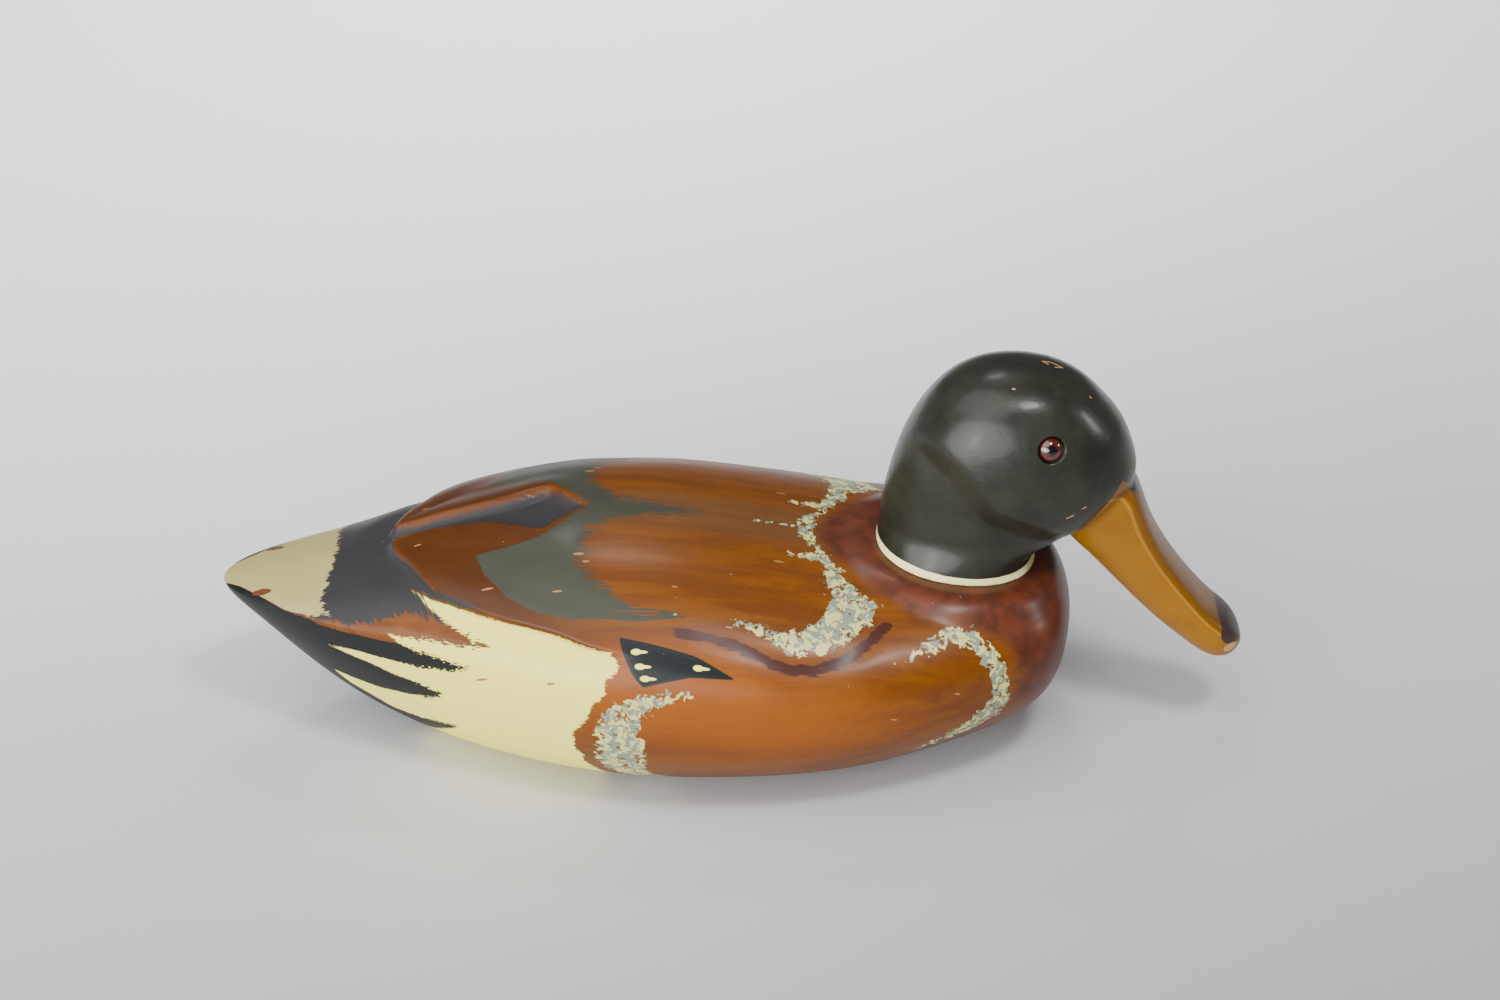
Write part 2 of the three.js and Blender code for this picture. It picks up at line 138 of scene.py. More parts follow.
class Wire:
    # a node's output that Python's own arithmetic works on
    def __init__(self, paint, socket):
        self.paint = paint
        self.socket = socket

    def maths(self, operation, first, second=0.0):
        return self.paint.add("ShaderNodeMath", {"operation": operation}, {0: first, 1: second})

    def __add__(self, other):
        return self.maths("ADD", self, other)

    def __sub__(self, other):
        return self.maths("SUBTRACT", self, other)

    def __rsub__(self, other):
        return self.maths("SUBTRACT", other, self)

    def __mul__(self, other):
        return self.maths("MULTIPLY", self, other)

    __radd__, __rmul__ = __add__, __mul__

    def __abs__(self):
        return self.maths("ABSOLUTE", self)

    def lower(self, other):
        return self.maths("MINIMUM", self, other)

    def higher(self, other):
        return self.maths("MAXIMUM", self, other)


class Paint:
    # one material's nodes
    def __init__(self, name):
        self.material = bpy.data.materials.new(name)
        self.material.use_nodes = True
        self.tree = self.material.node_tree
        self.tree.nodes.clear()
        self.where = None

    def add(self, kind, settings=None, values=None, output=0):
        node = self.tree.nodes.new(kind)
        for key, value in (settings or {}).items():
            setattr(node, key, value)
        for key, value in (values or {}).items():
            if isinstance(value, Wire):
                self.tree.links.new(value.socket, node.inputs[key])
            else:
                node.inputs[key].default_value = value
        return Wire(self, node.outputs[output])

    def place(self):
        # the surface point in millimetres
        if self.where is None:
            spot = self.add("ShaderNodeTexCoord", output="Object")
            self.where = self.scaled(spot, (1000, 1000, 1000))
        return self.where

    def vectors(self, operation, values, output=0):
        return self.add("ShaderNodeVectorMath", {"operation": operation}, values, output)

    def scaled(self, vector, factors):
        return self.vectors("MULTIPLY", {0: vector, 1: factors})

    def moved(self, vector, offset):
        return self.vectors("ADD", {0: vector, 1: offset})

    def parts(self, vector):
        return [self.add("ShaderNodeSeparateXYZ", None, {0: vector}, output=i) for i in range(3)]

    def number(self, name):
        return self.add("ShaderNodeAttribute", {"attribute_name": name}, output="Fac")

    def vector(self, name):
        return self.add("ShaderNodeAttribute", {"attribute_name": name}, output="Vector")

    def noise(self, vector, scale, detail=2.0, rough=0.5, bent=0.0):
        values = {"Vector": vector, "Scale": scale, "Detail": detail, "Roughness": rough}
        values["Distortion"] = bent
        return self.add("ShaderNodeTexNoise", None, values)

    def step(self, value, low, high):
        # smooth ramp from 0 at low to 1 at high
        values = {0: value, 1: low, 2: high}
        return self.add("ShaderNodeMapRange", {"interpolation_type": "SMOOTHSTEP"}, values)

    def mix(self, factor, first, second, blend="MIX"):
        settings = {"data_type": "RGBA", "blend_type": blend}
        return self.add("ShaderNodeMix", settings, {0: factor, 6: first, 7: second}, output=2)

    def spotMask(self, vector, centre, reach, soft):
        # 1 inside an ellipse; centre and reach in millimetres
        shifted = self.moved(vector, tuple(-value for value in centre))
        squeezed = self.scaled(shifted, tuple(1 / value for value in reach))
        return self.step(self.vectors("LENGTH", {0: squeezed}, "Value"), 1 + soft, 1 - soft)

    def scratch(self, start, end, width):
        # 1 along a straight mark between two points
        run = Vector(end) - Vector(start)
        reach = self.moved(self.place(), tuple(-Vector(start)))
        share = self.vectors("DOT_PRODUCT", {0: reach, 1: tuple(run / run.length_squared)}, "Value")
        nearest = self.vectors("SCALE", {0: tuple(run), "Scale": share.higher(0.0).lower(1.0)})
        length = self.vectors("LENGTH", {0: self.vectors("SUBTRACT", {0: reach, 1: nearest})}, "Value")
        return self.step(length, width, width * 0.55)

    def bump(self, height, depth, strength):
        values = {"Strength": strength, "Distance": depth * mm, "Height": height}
        return self.add("ShaderNodeBump", None, values)

    def finish(self, colour, roughness, normal=None, **fixed):
        values = {"Base Color": colour, "Roughness": roughness}
        if normal is not None:
            values["Normal"] = normal
        values.update({key.replace("_", " "): value for key, value in fixed.items()})
        shader = self.add("ShaderNodeBsdfPrincipled", None, values)
        out = self.tree.nodes.new("ShaderNodeOutputMaterial")
        self.tree.links.new(shader.socket, out.inputs["Surface"])
        return self.material


# shape building

def smoothStep(value, low, high):
    share = np.clip((value - low) / (high - low), 0, 1)
    return share * share * (3 - 2 * share)


def curveThrough(points):
    # natural cubic curve through (place, value) points
    place, value = (np.array(column, float) for column in zip(*points))
    gap = np.diff(place)
    count = len(place)
    system = np.eye(count)
    slope = np.zeros(count)
    for i in range(1, count - 1):
        system[i, i - 1:i + 2] = gap[i - 1], 2 * (gap[i - 1] + gap[i]), gap[i]
        slope[i] = 6 * ((value[i + 1] - value[i]) / gap[i] - (value[i] - value[i - 1]) / gap[i - 1])
    bend = np.linalg.solve(system, slope)

    def read(where):
        where = np.asarray(where, float)
        i = np.clip(np.searchsorted(place, where) - 1, 0, count - 2)
        before = (place[i + 1] - where) / gap[i]
        after = 1 - before
        curved = (before**3 - before) * bend[i] + (after**3 - after) * bend[i + 1]
        return before * value[i] + after * value[i + 1] + curved * gap[i] ** 2 / 6

    return read


def edgeDistance(x, y, start, end):
    runX, runY = end[0] - start[0], end[1] - start[1]
    length = max(runX * runX + runY * runY, 1e-9)
    share = np.clip(((x - start[0]) * runX + (y - start[1]) * runY) / length, 0, 1)
    return np.hypot(x - start[0] - share * runX, y - start[1] - share * runY)


def lineDistance(x, y, line):
    return np.min([edgeDistance(x, y, start, end) for start, end in zip(line, line[1:])], axis=0)


def signedDistance(x, y, outline):
    # millimetres inside a closed outline, negative outside
    nearest = lineDistance(x, y, outline + outline[:1])
    inside = np.zeros(x.shape, bool)
    for (ax, ay), (bx, by) in zip(outline, outline[1:] + outline[:1]):
        if ay != by:
            inside ^= ((ay > y) != (by > y)) & (x < ax + (y - ay) / (by - ay) * (bx - ax))
    return np.where(inside, nearest, -nearest)


def softened(line):
    # corners cut twice, which rounds a line drawn with few points
    for _ in range(2):
        cut = [line[0]]
        for (ax, ay), (bx, by) in zip(line, line[1:]):
            cut.append((ax * 0.75 + bx * 0.25, ay * 0.75 + by * 0.25))
            cut.append((ax * 0.25 + bx * 0.75, ay * 0.25 + by * 0.75))
        line = cut + [line[-1]]
    return line


def readPoints(mesh, field="co"):
    points = np.empty(len(mesh.vertices) * 3)
    mesh.vertices.foreach_get(field, points)
    return points.reshape(-1, 3)


def writePoints(mesh, points):
    mesh.vertices.foreach_set("co", points.ravel())
    mesh.update()


def keepNumber(mesh, name, values, kind="FLOAT", field="value"):
    layer = mesh.attributes.new(name, kind, "POINT")
    layer.data.foreach_set(field, np.ascontiguousarray(values, "f").ravel())


def turnOutward(shape):
    bmesh.ops.recalc_face_normals(shape, faces=shape.faces)


def asObject(name, shape, smooth=True):
    # a finished bmesh as an object at the origin
    turnOutward(shape)
    mesh = bpy.data.meshes.new(name)
    shape.to_mesh(mesh)
    shape.free()
    obj = bpy.data.objects.new(name, mesh)
    scene.collection.objects.link(obj)
    if smooth:
        mesh.shade_smooth()
    return obj


def bake(obj):
    # live modifiers become the mesh
    graph = bpy.context.evaluated_depsgraph_get()
    mesh = bpy.data.meshes.new_from_object(obj.evaluated_get(graph))
    obj.modifiers.clear()
    old = obj.data
    obj.data = mesh
    bpy.data.meshes.remove(old)
    return mesh


def carve(obj, cutters, operation="DIFFERENCE"):
    for cutter in cutters:
        step = obj.modifiers.new("carve", "BOOLEAN")
        step.operation = operation
        step.solver = "EXACT"
        step.object = cutter
    bake(obj)
    for cutter in cutters:
        bpy.data.objects.remove(cutter)


def reshape(obj, change):
    # a change by bmesh operators to an object's mesh
    shape = bmesh.new()
    shape.from_mesh(obj.data)
    change(shape)
    shape.to_mesh(obj.data)
    shape.free()


def barAlong(shape, start, end, radius, endRadius=None, segments=48):
    # round bar between two points, in millimetres
    start, end = Vector(start), Vector(end)
    run = end - start
    turn = run.to_track_quat("Z", "Y").to_matrix().to_4x4()
    place = Matrix.Translation((start + end) / 2 * mm) @ turn
    bmesh.ops.create_cone(
        shape, cap_ends=True, segments=segments, radius1=radius * mm,
        radius2=(radius if endRadius is None else endRadius) * mm, depth=run.length * mm, matrix=place)


def cutterBar(*arguments, **named):
    shape = bmesh.new()
    barAlong(shape, *arguments, **named)
    return asObject("cutter", shape, smooth=False)


# the neck's frame: the seat that the head stands on and the axis it turns about
seat = Vector((120, 0, 81.28))
neckAxis = Vector(joints["head_turn"]["axis"]).normalized()


def onNeck(along, across=0.0, side=0.0):
    return seat + neckAxis * along + Vector((neckAxis.z, 0, -neckAxis.x)) * across + Vector((0, side, 0))


def aboutNeck(points):
    # height above the seat and distance from the neck's axis
    fromSeat = points - np.array(seat)
    height = fromSeat @ np.array(neckAxis)
    return height, np.linalg.norm(fromSeat - np.outer(height, neckAxis), axis=1)


# body

bodySize = {
    "tail": -168,
    "length": 334,
    "around": 312,  # faces round the body
    "rings": 306,  # faces along it
    "beam": [
        (-168, 0), (-150, 20), (-120, 35), (-80, 51), (-40, 66), (0, 75), (40, 77), (80, 73), (115, 63),
        (145, 48), (160, 33), (166, 0),
    ],
    "beamHeight": [
        (-168, 62.5), (-120, 63.5), (-80, 60.5), (-40, 53.5), (0, 50), (40, 49), (80, 51), (115, 53.5),
        (145, 53.5), (166, 55.5),
    ],
    "back": [
        (-168, 62.5), (-150, 67), (-120, 74), (-80, 88), (-40, 95), (0, 96.5), (40, 91.5), (80, 85.5),
        (115, 84), (145, 81), (160, 72), (166, 55.5),
    ],
    "keel": [
        (-168, 62.5), (-150, 43.5), (-120, 16), (-80, -3), (-40, -7), (0, -6), (40, -4), (80, -2),
        (115, 4.5), (145, 14), (160, 28), (166, 55.5),
    ],
    "upperRoundness": [(-168, 1.7), (-120, 1.7), (-60, 2.2), (0, 2.3), (100, 2.1), (166, 2)],
    "lowerRoundness": [(-168, 1.8), (-100, 2), (0, 2.3), (100, 2.2), (166, 2)],
    "wingRise": 2.0,
    "underWing": 1.9,  # how far the flank is cut back below the wing's edge
    "grooveDepth": 2.0,
    "shoulderValley": 0.6,
    "shelfRadius": 34.0,  # flat round the neck's foot
    "shelfBlend": 47.0,
}


def alongBody(x):
    share = (np.asarray(x, float) - bodySize["tail"]) / bodySize["length"]
    return np.arccos(np.clip(1 - 2 * share, -1, 1))


bodyLines = {
    name: curveThrough([(float(alongBody(x)), value) for x, value in points])
    for name, points in bodySize.items() if isinstance(points, list)
}


def bodyPoint(turn, around):
    # turn runs 0 to pi from tail to breast; around is pi/2 at the back and -pi/2 at the keel
    x = bodySize["tail"] + bodySize["length"] * (1 - np.cos(turn)) / 2
    across, up = np.maximum(np.cos(around), 0), np.sin(around)
    upper = up >= 0
    power = 2 / np.where(upper, bodyLines["upperRoundness"](turn), bodyLines["lowerRoundness"](turn))
    height = bodyLines["beamHeight"](turn)
    reach = np.where(upper, bodyLines["back"](turn) - height, height - bodyLines["keel"](turn))
    y = np.maximum(bodyLines["beam"](turn), 0) * across**power
    z = height + np.maximum(reach, 0) * np.sign(up) * np.abs(up) ** power
    return x, y, z


# distance round the body's side from the back line, for every turn and around
girthTurns = np.linspace(1e-4, math.pi - 1e-4, 401)
girthArounds = np.linspace(math.pi / 2, -math.pi / 2, 401)
girthX, girthY, girthZ = bodyPoint(*np.meshgrid(girthTurns, girthArounds, indexing="ij"))
girthSteps = np.hypot(np.diff(girthY, axis=1), np.diff(np.maximum(girthZ, 0), axis=1))
girthTable = np.concatenate([np.zeros((401, 1)), np.cumsum(girthSteps, 1)], 1)


def girthOf(points):
    # how far down the side from the back line each surface point lies, in millimetres
    x, y, z = points.T
    turn = alongBody(x)
    height = bodyLines["beamHeight"](turn)
    upper = z >= height
    half = np.where(upper, bodyLines["upperRoundness"](turn), bodyLines["lowerRoundness"](turn)) / 2
    reach = np.where(upper, bodyLines["back"](turn) - height, height - bodyLines["keel"](turn))
    across = np.clip(np.abs(y) / np.maximum(bodyLines["beam"](turn), 1e-3), 0, 1.2) ** half
    up = np.clip(np.abs(z - height) / np.maximum(reach, 1e-3), 0, 1.2) ** half
    around = np.arctan2(np.where(upper, up, -up), across)
    row = np.clip((turn - girthTurns[0]) / (girthTurns[1] - girthTurns[0]), 0, 399.99)
    column = np.clip((around - math.pi / 2) / (girthArounds[1] - girthArounds[0]), 0, 399.99)
    i, j = row.astype(int), column.astype(int)
    di, dj = row - i, column - j
    near = girthTable[i, j] * (1 - dj) + girthTable[i, j + 1] * dj
    far = girthTable[i + 1, j] * (1 - dj) + girthTable[i + 1, j + 1] * dj
    return near * (1 - di) + far * di


# painted shapes on the body, as (x, distance down the side), the same on both sides
wingOuter = [
    (-100, 4), (-99, 9), (-96, 15), (-90, 22), (-85, 30), (-80, 36), (-75, 41), (-70, 45), (-60, 51),
    (-50, 56), (-40, 60), (-30, 64), (-20, 69), (-10, 72), (-5, 73),
]
wingInner = [(-24, 0), (-33, 8), (-39, 14), (-44, 12.5), (-50, 10), (-60, 6.5), (-75, 4.5), (-90, 3.5)]
paintShapes = {
    "tailPaint": [
        (-175, -20), (-123, -20), (-123, 5), (-124, 15), (-125, 25), (-122, 33), (-130, 31), (-140, 26),
        (-150, 18), (-160, 10), (-168, 5), (-175, 3),
    ],
    "rumpPaint": [
        (-128, -20), (-28, -20), (-24, 0), (-33, 8), (-39, 13.5), (-44, 12), (-50, 9.5), (-60, 6),
        (-75, 4), (-90, 3), (-99, 4), (-98, 9), (-95, 15), (-89, 22), (-84, 30), (-79, 36), (-72, 41),
        (-60, 48), (-68.7, 46.6), (-79.5, 40.2), (-89, 32.8), (-80.7, 44.4), (-72.5, 53), (-80.5, 48),
        (-85, 44.5), (-90, 42.5), (-97.7, 42), (-104.4, 41.5), (-114, 39), (-121, 35), (-128, 33),
    ],
    "underPaint": [
        (-175, 3), (-168, 5), (-160, 10), (-150, 18), (-140, 26), (-130, 32), (-124, 36.8),
        (-111.3, 43.6), (-93.6, 53), (-80.3, 62), (-72.4, 66.8), (-64, 71.6), (-66, 80), (-70, 100),
        (-70, 190), (-175, 190),
    ],
    "flankPaint": [
        (-90, 32.6), (-79.5, 41), (-68.7, 47.2), (-60, 52), (-50, 56.3), (-40, 60), (-30, 64),
        (-20, 69), (-10, 72), (-7, 76), (-8, 80), (-12, 82), (-12, 88), (-17, 92), (-20, 100),
        (-25, 105), (-25, 115), (-22, 120), (-22, 125), (-18, 133), (-15, 140), (-15, 190), (-84, 190),
        (-82, 135), (-94, 119), (-78, 109), (-72, 105), (-88.7, 99.8), (-99.9, 93.3), (-108.9, 82.4),
        (-116.9, 73.8), (-123, 63.4), (-114.5, 68.7), (-103.4, 75.6), (-93.5, 79.8), (-81, 84.6),
        (-76, 83), (-87, 74.4), (-96.4, 68), (-105.6, 59.9), (-112.4, 54.8), (-123, 46.4),
        (-112.1, 51.3), (-98.5, 59.4), (-84.9, 66.8), (-71.3, 71.6), (-65, 71.4), (-72, 67.2),
        (-80, 62.4), (-90.9, 55), (-98, 47.4), (-91, 51.4), (-80.1, 56), (-68.1, 61.6), (-56, 65),
        (-62.9, 60.4), (-68.3, 56.4), (-73.7, 51.8), (-80.7, 44.4),
    ],
    "wing": wingInner[::-1] + [(-20, -30), (60, -30), (60, 73)] + wingOuter[::-1],
    "scapular": [
        (-64, 24), (-50, 22), (-40, 19), (-32, 12), (-26, 5), (-23, 1), (-22, -9), (18, -9), (20, 0),
        (0, 5), (-12, 8), (-20, 15), (-24, 20), (-22, 28), (-25, 33), (-18, 40), (-12, 45), (-8, 50),
        (0, 55), (18, 57), (10, 58.5), (0, 60), (-25, 58), (-40, 53), (-50, 46), (-60, 34),
    ],
    "speculum": [(-7, 66), (8, 69), (22, 72), (37, 79), (20, 80), (2, 85), (-2, 80), (-5, 73)],
    "shoulderBand": [
        (40, -8), (38, 0), (57, 2.5), (60, 8), (65, 15), (53, 16), (55, 20), (67, 22), (70, 33),
        (70, 42), (67, 50), (60, 55), (52, 57), (45, 55), (38, 55), (25, 54), (40, 60), (48, 64),
        (58, 68), (68, 66), (80, 60), (88, 50), (92, 41), (86, 36), (80, 30), (76, 22), (70, 12),
        (66, 3), (66, -8),
    ],
    "flankBand": [
        (27, 84), (10, 86), (0, 87), (-8, 90), (-16, 97), (-18, 105), (-18, 120), (-15, 130),
        (-10, 140), (-6, 160), (14, 160), (10, 140), (5, 135), (3, 125), (3, 110), (3, 98), (8, 94),
        (18, 90),
    ],
    "breastBand": [
        (86, 67), (100, 62), (108, 52), (118, 46), (128, 48), (135, 52), (140, 60), (142, 68),
        (140, 80), (133, 92), (125, 100), (115, 108), (100, 118), (104, 112), (110, 103), (118, 95),
        (125, 86), (133, 75), (132, 66), (126, 58), (118, 56), (108, 62), (100, 66),
    ],
    "cape": [
        (66, -30), (66, 0), (75, 17), (85, 28), (95, 38), (103, 46), (110, 45), (118, 43), (130, 45),
        (140, 51), (145, 62), (146, 75), (143, 90), (136, 104), (125, 116), (115, 125), (112, 190),
        (200, 190), (200, -30),
    ],
}
hairLine = softened([(13, 63.5), (25, 64), (35, 66), (45, 69), (55, 73), (65, 72), (75, 68), (85, 60),
                     (93, 50)])


def ballMesh(name, around, rings):
    shape = bmesh.new()
    bmesh.ops.create_uvsphere(shape, u_segments=around, v_segments=rings, radius=1)
    obj = asObject(name, shape)
    return obj, readPoints(obj.data)


def shapeBody():
    body, ball = ballMesh("body", bodySize["around"], bodySize["rings"])
    turn = np.arccos(np.clip(-ball[:, 2], -1, 1))
    around = np.arctan2(ball[:, 0], np.abs(ball[:, 1]))
    x, y, z = bodyPoint(np.clip(turn, 1e-6, math.pi - 1e-6), around)
    points = np.stack([x, y * np.sign(ball[:, 1]), z], 1)
    points[np.abs(ball[:, 1]) < 1e-6, 1] = 0
    writePoints(body.data, points)
    normals = readPoints(body.data, "normal")
    normals *= np.sign((normals * (points - [0, 0, 45])).sum(1).mean())

    # raised wings, the cut-back flank below them, the groove between them
    girth = girthOf(points)
    wing = signedDistance(x, girth, paintShapes["wing"])
    fade = 1 - smoothStep(x, -34, 4)
    rise = bodySize["wingRise"] * smoothStep(wing, -0.9, 1.1) * (1 - 0.55 * smoothStep(wing, 3, 16))
    side = smoothStep(girth, 8, 16)
    below = smoothStep(wing, 0.2, -1.2) * (1 - smoothStep(-wing, 2, 17))
    rise -= bodySize["underWing"] * below * side
    rise -= bodySize["grooveDepth"] * smoothStep(wing, 0.2, -3) * (1 - side) * smoothStep(x, -118, -96)
    valley = lineDistance(x, girth, hairLine)
    ends = smoothStep(x, 8, 32) * (1 - smoothStep(x, 82, 98))
    rise = rise * fade - bodySize["shoulderValley"] * np.exp(-(valley / 5.0) ** 2) * ends
    points += normals * rise[:, None]

    # level shelf for the neck
    height, radius = aboutNeck(points)
    level = 1 - smoothStep(radius, bodySize["shelfRadius"], bodySize["shelfBlend"])
    level *= 1 - smoothStep(np.abs(height), 9, 16)
    points -= np.outer(height * level, neckAxis)
    writePoints(body.data, points * mm)
    return body


def ovalCutter(halfLength, halfWidth, bottom, top, rounding=0.0):
    shape = bmesh.new()
    place = Matrix.Translation((-5 * mm, 0, (bottom + top) / 2 * mm))
    place = place @ Matrix.Diagonal((halfLength, halfWidth, 1, 1))
    bmesh.ops.create_cone(shape, cap_ends=True, segments=96, radius1=mm, radius2=mm,
                          depth=(top - bottom) * mm, matrix=place)
    if rounding:
        rim = [edge for edge in shape.edges if all(v.co.z > (top - 0.1) * mm for v in edge.verts)]
        bmesh.ops.bevel(shape, geom=rim, offset=rounding * mm, offset_type="OFFSET", segments=6,
                        profile=0.5, affect="EDGES", material=-1)
    return asObject("cutter", shape, smooth=False)


def flattenBase(shape):
    # the flat base that the decoy stands on
    everything = shape.verts[:] + shape.edges[:] + shape.faces[:]
    cut = bmesh.ops.bisect_plane(shape, geom=everything, dist=1e-7, plane_co=(0, 0, 0),
                                 plane_no=(0, 0, -1), clear_outer=True)
    edges = [part for part in cut["geom_cut"] if isinstance(part, bmesh.types.BMEdge)]
    bmesh.ops.contextual_create(shape, geom=edges)
    turnOutward(shape)


body = shapeBody()
reshape(body, flattenBase)
carve(body, [
    ovalCutter(76.3, 31.3, -5, 13.8),
    ovalCutter(64, 19, 10, 76.5, rounding=6),
    cutterBar(onNeck(-22.3), onNeck(20), 8.3),
    cutterBar(onNeck(-60), onNeck(-10), 2.8, segments=24),
    cutterBar(onNeck(-120), onNeck(-56), 8.3),
])
bodyPoints = readPoints(body.data) / mm
bodyGirth = girthOf(bodyPoints)
bodySide = np.sign(bodyPoints[:, 1])
flat = np.stack([bodyPoints[:, 0], bodyGirth, bodySide], 1)
keepNumber(body.data, "flat", flat, "FLOAT_VECTOR", "vector")
for name, outline in paintShapes.items():
    keepNumber(body.data, name, signedDistance(bodyPoints[:, 0], bodyGirth, outline))
keepNumber(body.data, "hairLine", lineDistance(bodyPoints[:, 0], bodyGirth, hairLine))
body.data.shade_smooth()
print("body shaped,", len(body.data.polygons), "faces")


# head

headSize = {
    "middle": 78,  # level that the polar angle is measured from
    "dome": 85,  # crown above that level
    "drop": -0.22,
    "roundness": 2.15,
    # level, back, front, half width
    "levels": [
        (78, 88.5, 151.5, 29.3), (86, 89.4, 152, 29.0), (93, 90.2, 164, 29.6), (100, 90.8, 173.5, 30.4),
        (109, 92.4, 182.8, 31.4), (118, 94.5, 187.8, 32), (128, 97.3, 186.4, 31.5),
        (138, 101.5, 182.2, 29.6), (147, 107.2, 175.2, 26.2), (155, 114.6, 166.8, 21.2),
    ],
    "crownAt": 138,
    "billStart": 166,
    "billRun": 68,
    "spine": [
        (0, 116), (0.12, 103), (0.24, 90), (0.36, 78), (0.49, 66.5), (0.62, 56.5), (0.74, 48.5),
        (0.86, 42), (1, 37),
    ],
    "billThick": [
        (0, 0), (0.12, 17), (0.24, 14.4), (0.36, 12.1), (0.49, 10.8), (0.62, 9.7), (0.74, 8.8),
        (0.86, 8.4), (1, 0),
    ],
    "billWide": [
        (0, 0), (0.12, 15.8), (0.24, 15), (0.36, 14.4), (0.49, 14), (0.62, 14.4), (0.74, 14.8),
        (0.86, 14), (1, 0),
    ],
    "billRoundness": 2.2,
    "billEdge": 0.6,  # share of the thickness where the flatter top plane starts
    "billFlatten": 0.8,
    "neckSide": [
        (60, 150), (109, 150), (108, 139), (119, 130), (133, 114), (150, 106), (166, 96), (166, 60),
        (60, 60),
    ],  # x and z of the hollow below the jaw
    "neckCut": 3.9,
    "cheekRise": 0.7,
    "seatTrim": 37.0,  # radius that the foot is cut level inside
    "faceEdge": [(163, 93.7), (19, 27.3)],  # start and run of the line down the cheek, in x and z
    "lobeTop": 123.5,  # height that the bill's side lobes reach on the face
    "voxel": 0.8,
    "smoothing": 5,
}


def roundedSection(around, power):
    across, up = np.cos(around), np.sin(around)
    return np.sign(across) * np.abs(across) ** (2 / power), np.sign(up) * np.abs(up) ** (2 / power)


def shapeSkull():
    obj, ball = ballMesh("skull", 160, 120)
    polar = np.arccos(np.clip(ball[:, 2], -1, 1))
    around = np.arctan2(ball[:, 1], ball[:, 0])
    middle, dome = headSize["middle"], headSize["dome"]
    levels = [(math.acos((row[0] - middle) / dome), *row[1:]) for row in headSize["levels"]]
    levels = sorted(levels + [(0, headSize["crownAt"], headSize["crownAt"], 0)])
    back, front, half = (curveThrough([(row[0], row[i]) for row in levels]) for i in (1, 2, 3))
    upper = np.minimum(polar, math.pi / 2)
    below = np.maximum(polar - math.pi / 2, 0)
    cross, side = roundedSection(around, headSize["roundness"])
    close = np.cos(below) ** 0.2  # the stub under the seat closes to a point
    x = (back(upper) + front(upper)) / 2 + (front(upper) - back(upper)) / 2 * cross * close
    y = half(upper) * side * close
    z = middle + headSize["drop"] + dome * np.cos(upper) - 20 * np.sin(below)
    writePoints(obj.data, np.stack([x, y, z], 1) * mm)
    return obj


spineAt = curveThrough(headSize["spine"])
billThick, billWide = (
    curveThrough([(math.acos(1 - 2 * place), value) for place, value in headSize[name]])
    for name in ("billThick", "billWide"))


def billSlope(share):
    slope = (spineAt(share + 0.01) - spineAt(share - 0.01)) / (0.02 * headSize["billRun"])
    return slope, np.hypot(1, slope)


def shapeBill():
    obj, ball = ballMesh("bill", 120, 160)
    turn = np.arccos(np.clip(-ball[:, 2], -1, 1))
    around = np.arctan2(ball[:, 0], ball[:, 1])
    share = (1 - np.cos(turn)) / 2
    slope, length = billSlope(share)
    side, up = roundedSection(around, headSize["billRoundness"])
    edge, flatten = headSize["billEdge"], headSize["billFlatten"]
    flatTop = (up - flatten * np.maximum(up - edge, 0)) / (1 - flatten * (1 - edge))
    up = np.where(up > 0, flatTop, up)
    reach = np.maximum(billThick(turn), 0) * up
    x = headSize["billStart"] + headSize["billRun"] * share - slope / length * reach
    y = np.maximum(billWide(turn), 0) * side
    z = spineAt(share) + headSize["drop"] + reach / length
    writePoints(obj.data, np.stack([x, y, z], 1) * mm)
    reshape(obj, turnOutward)
    return obj


def evenOut(shape):
    for _ in range(headSize["smoothing"]):
        bmesh.ops.smooth_vert(shape, verts=shape.verts, factor=0.5, use_axis_x=True, use_axis_y=True,
                              use_axis_z=True)


def shapeHead():
    head = shapeSkull()
    bill = shapeBill()
    carve(head, [bill], "UNION")
    remesh = head.modifiers.new("even", "REMESH")
    remesh.mode = "VOXEL"
    remesh.voxel_size = headSize["voxel"] * mm
    bake(head)
    reshape(head, evenOut)

    # the neck's sides are cut in below the jaw, and the cheek stands out over them
    points = readPoints(head.data) / mm
    x, y, z = points.T
    neck = signedDistance(x, z, headSize["neckSide"])
    cut = smoothStep(neck, -5, 7) * smoothStep(z, 83, 97) * (1 - smoothStep(z, 128, 148))
    cheek = np.exp(-((x - 147) / 17) ** 2 - ((z - 117) / 9) ** 2)
    points[:, 1] += (headSize["cheekRise"] * cheek - headSize["neckCut"] * cut) * np.clip(y / 24, -1, 1)
    writePoints(head.data, points * mm)
    head.name = "headAndBill"
    return head


eyeSize = {
    "centre": Vector((152.99, 26.54, 140.91)),  # left eye; the right one is its mirror
    "outward": Vector((0.179, 0.913, 0.366)).normalized(),
    "radius": 5.0,
    "dome": 2.8,
    "sink": 1.0,
    "back": 4.0,
}


def eyeFrame(side):
    mirror = Vector((1, side, 1))
    return eyeSize["centre"] * mirror, eyeSize["outward"] * mirror


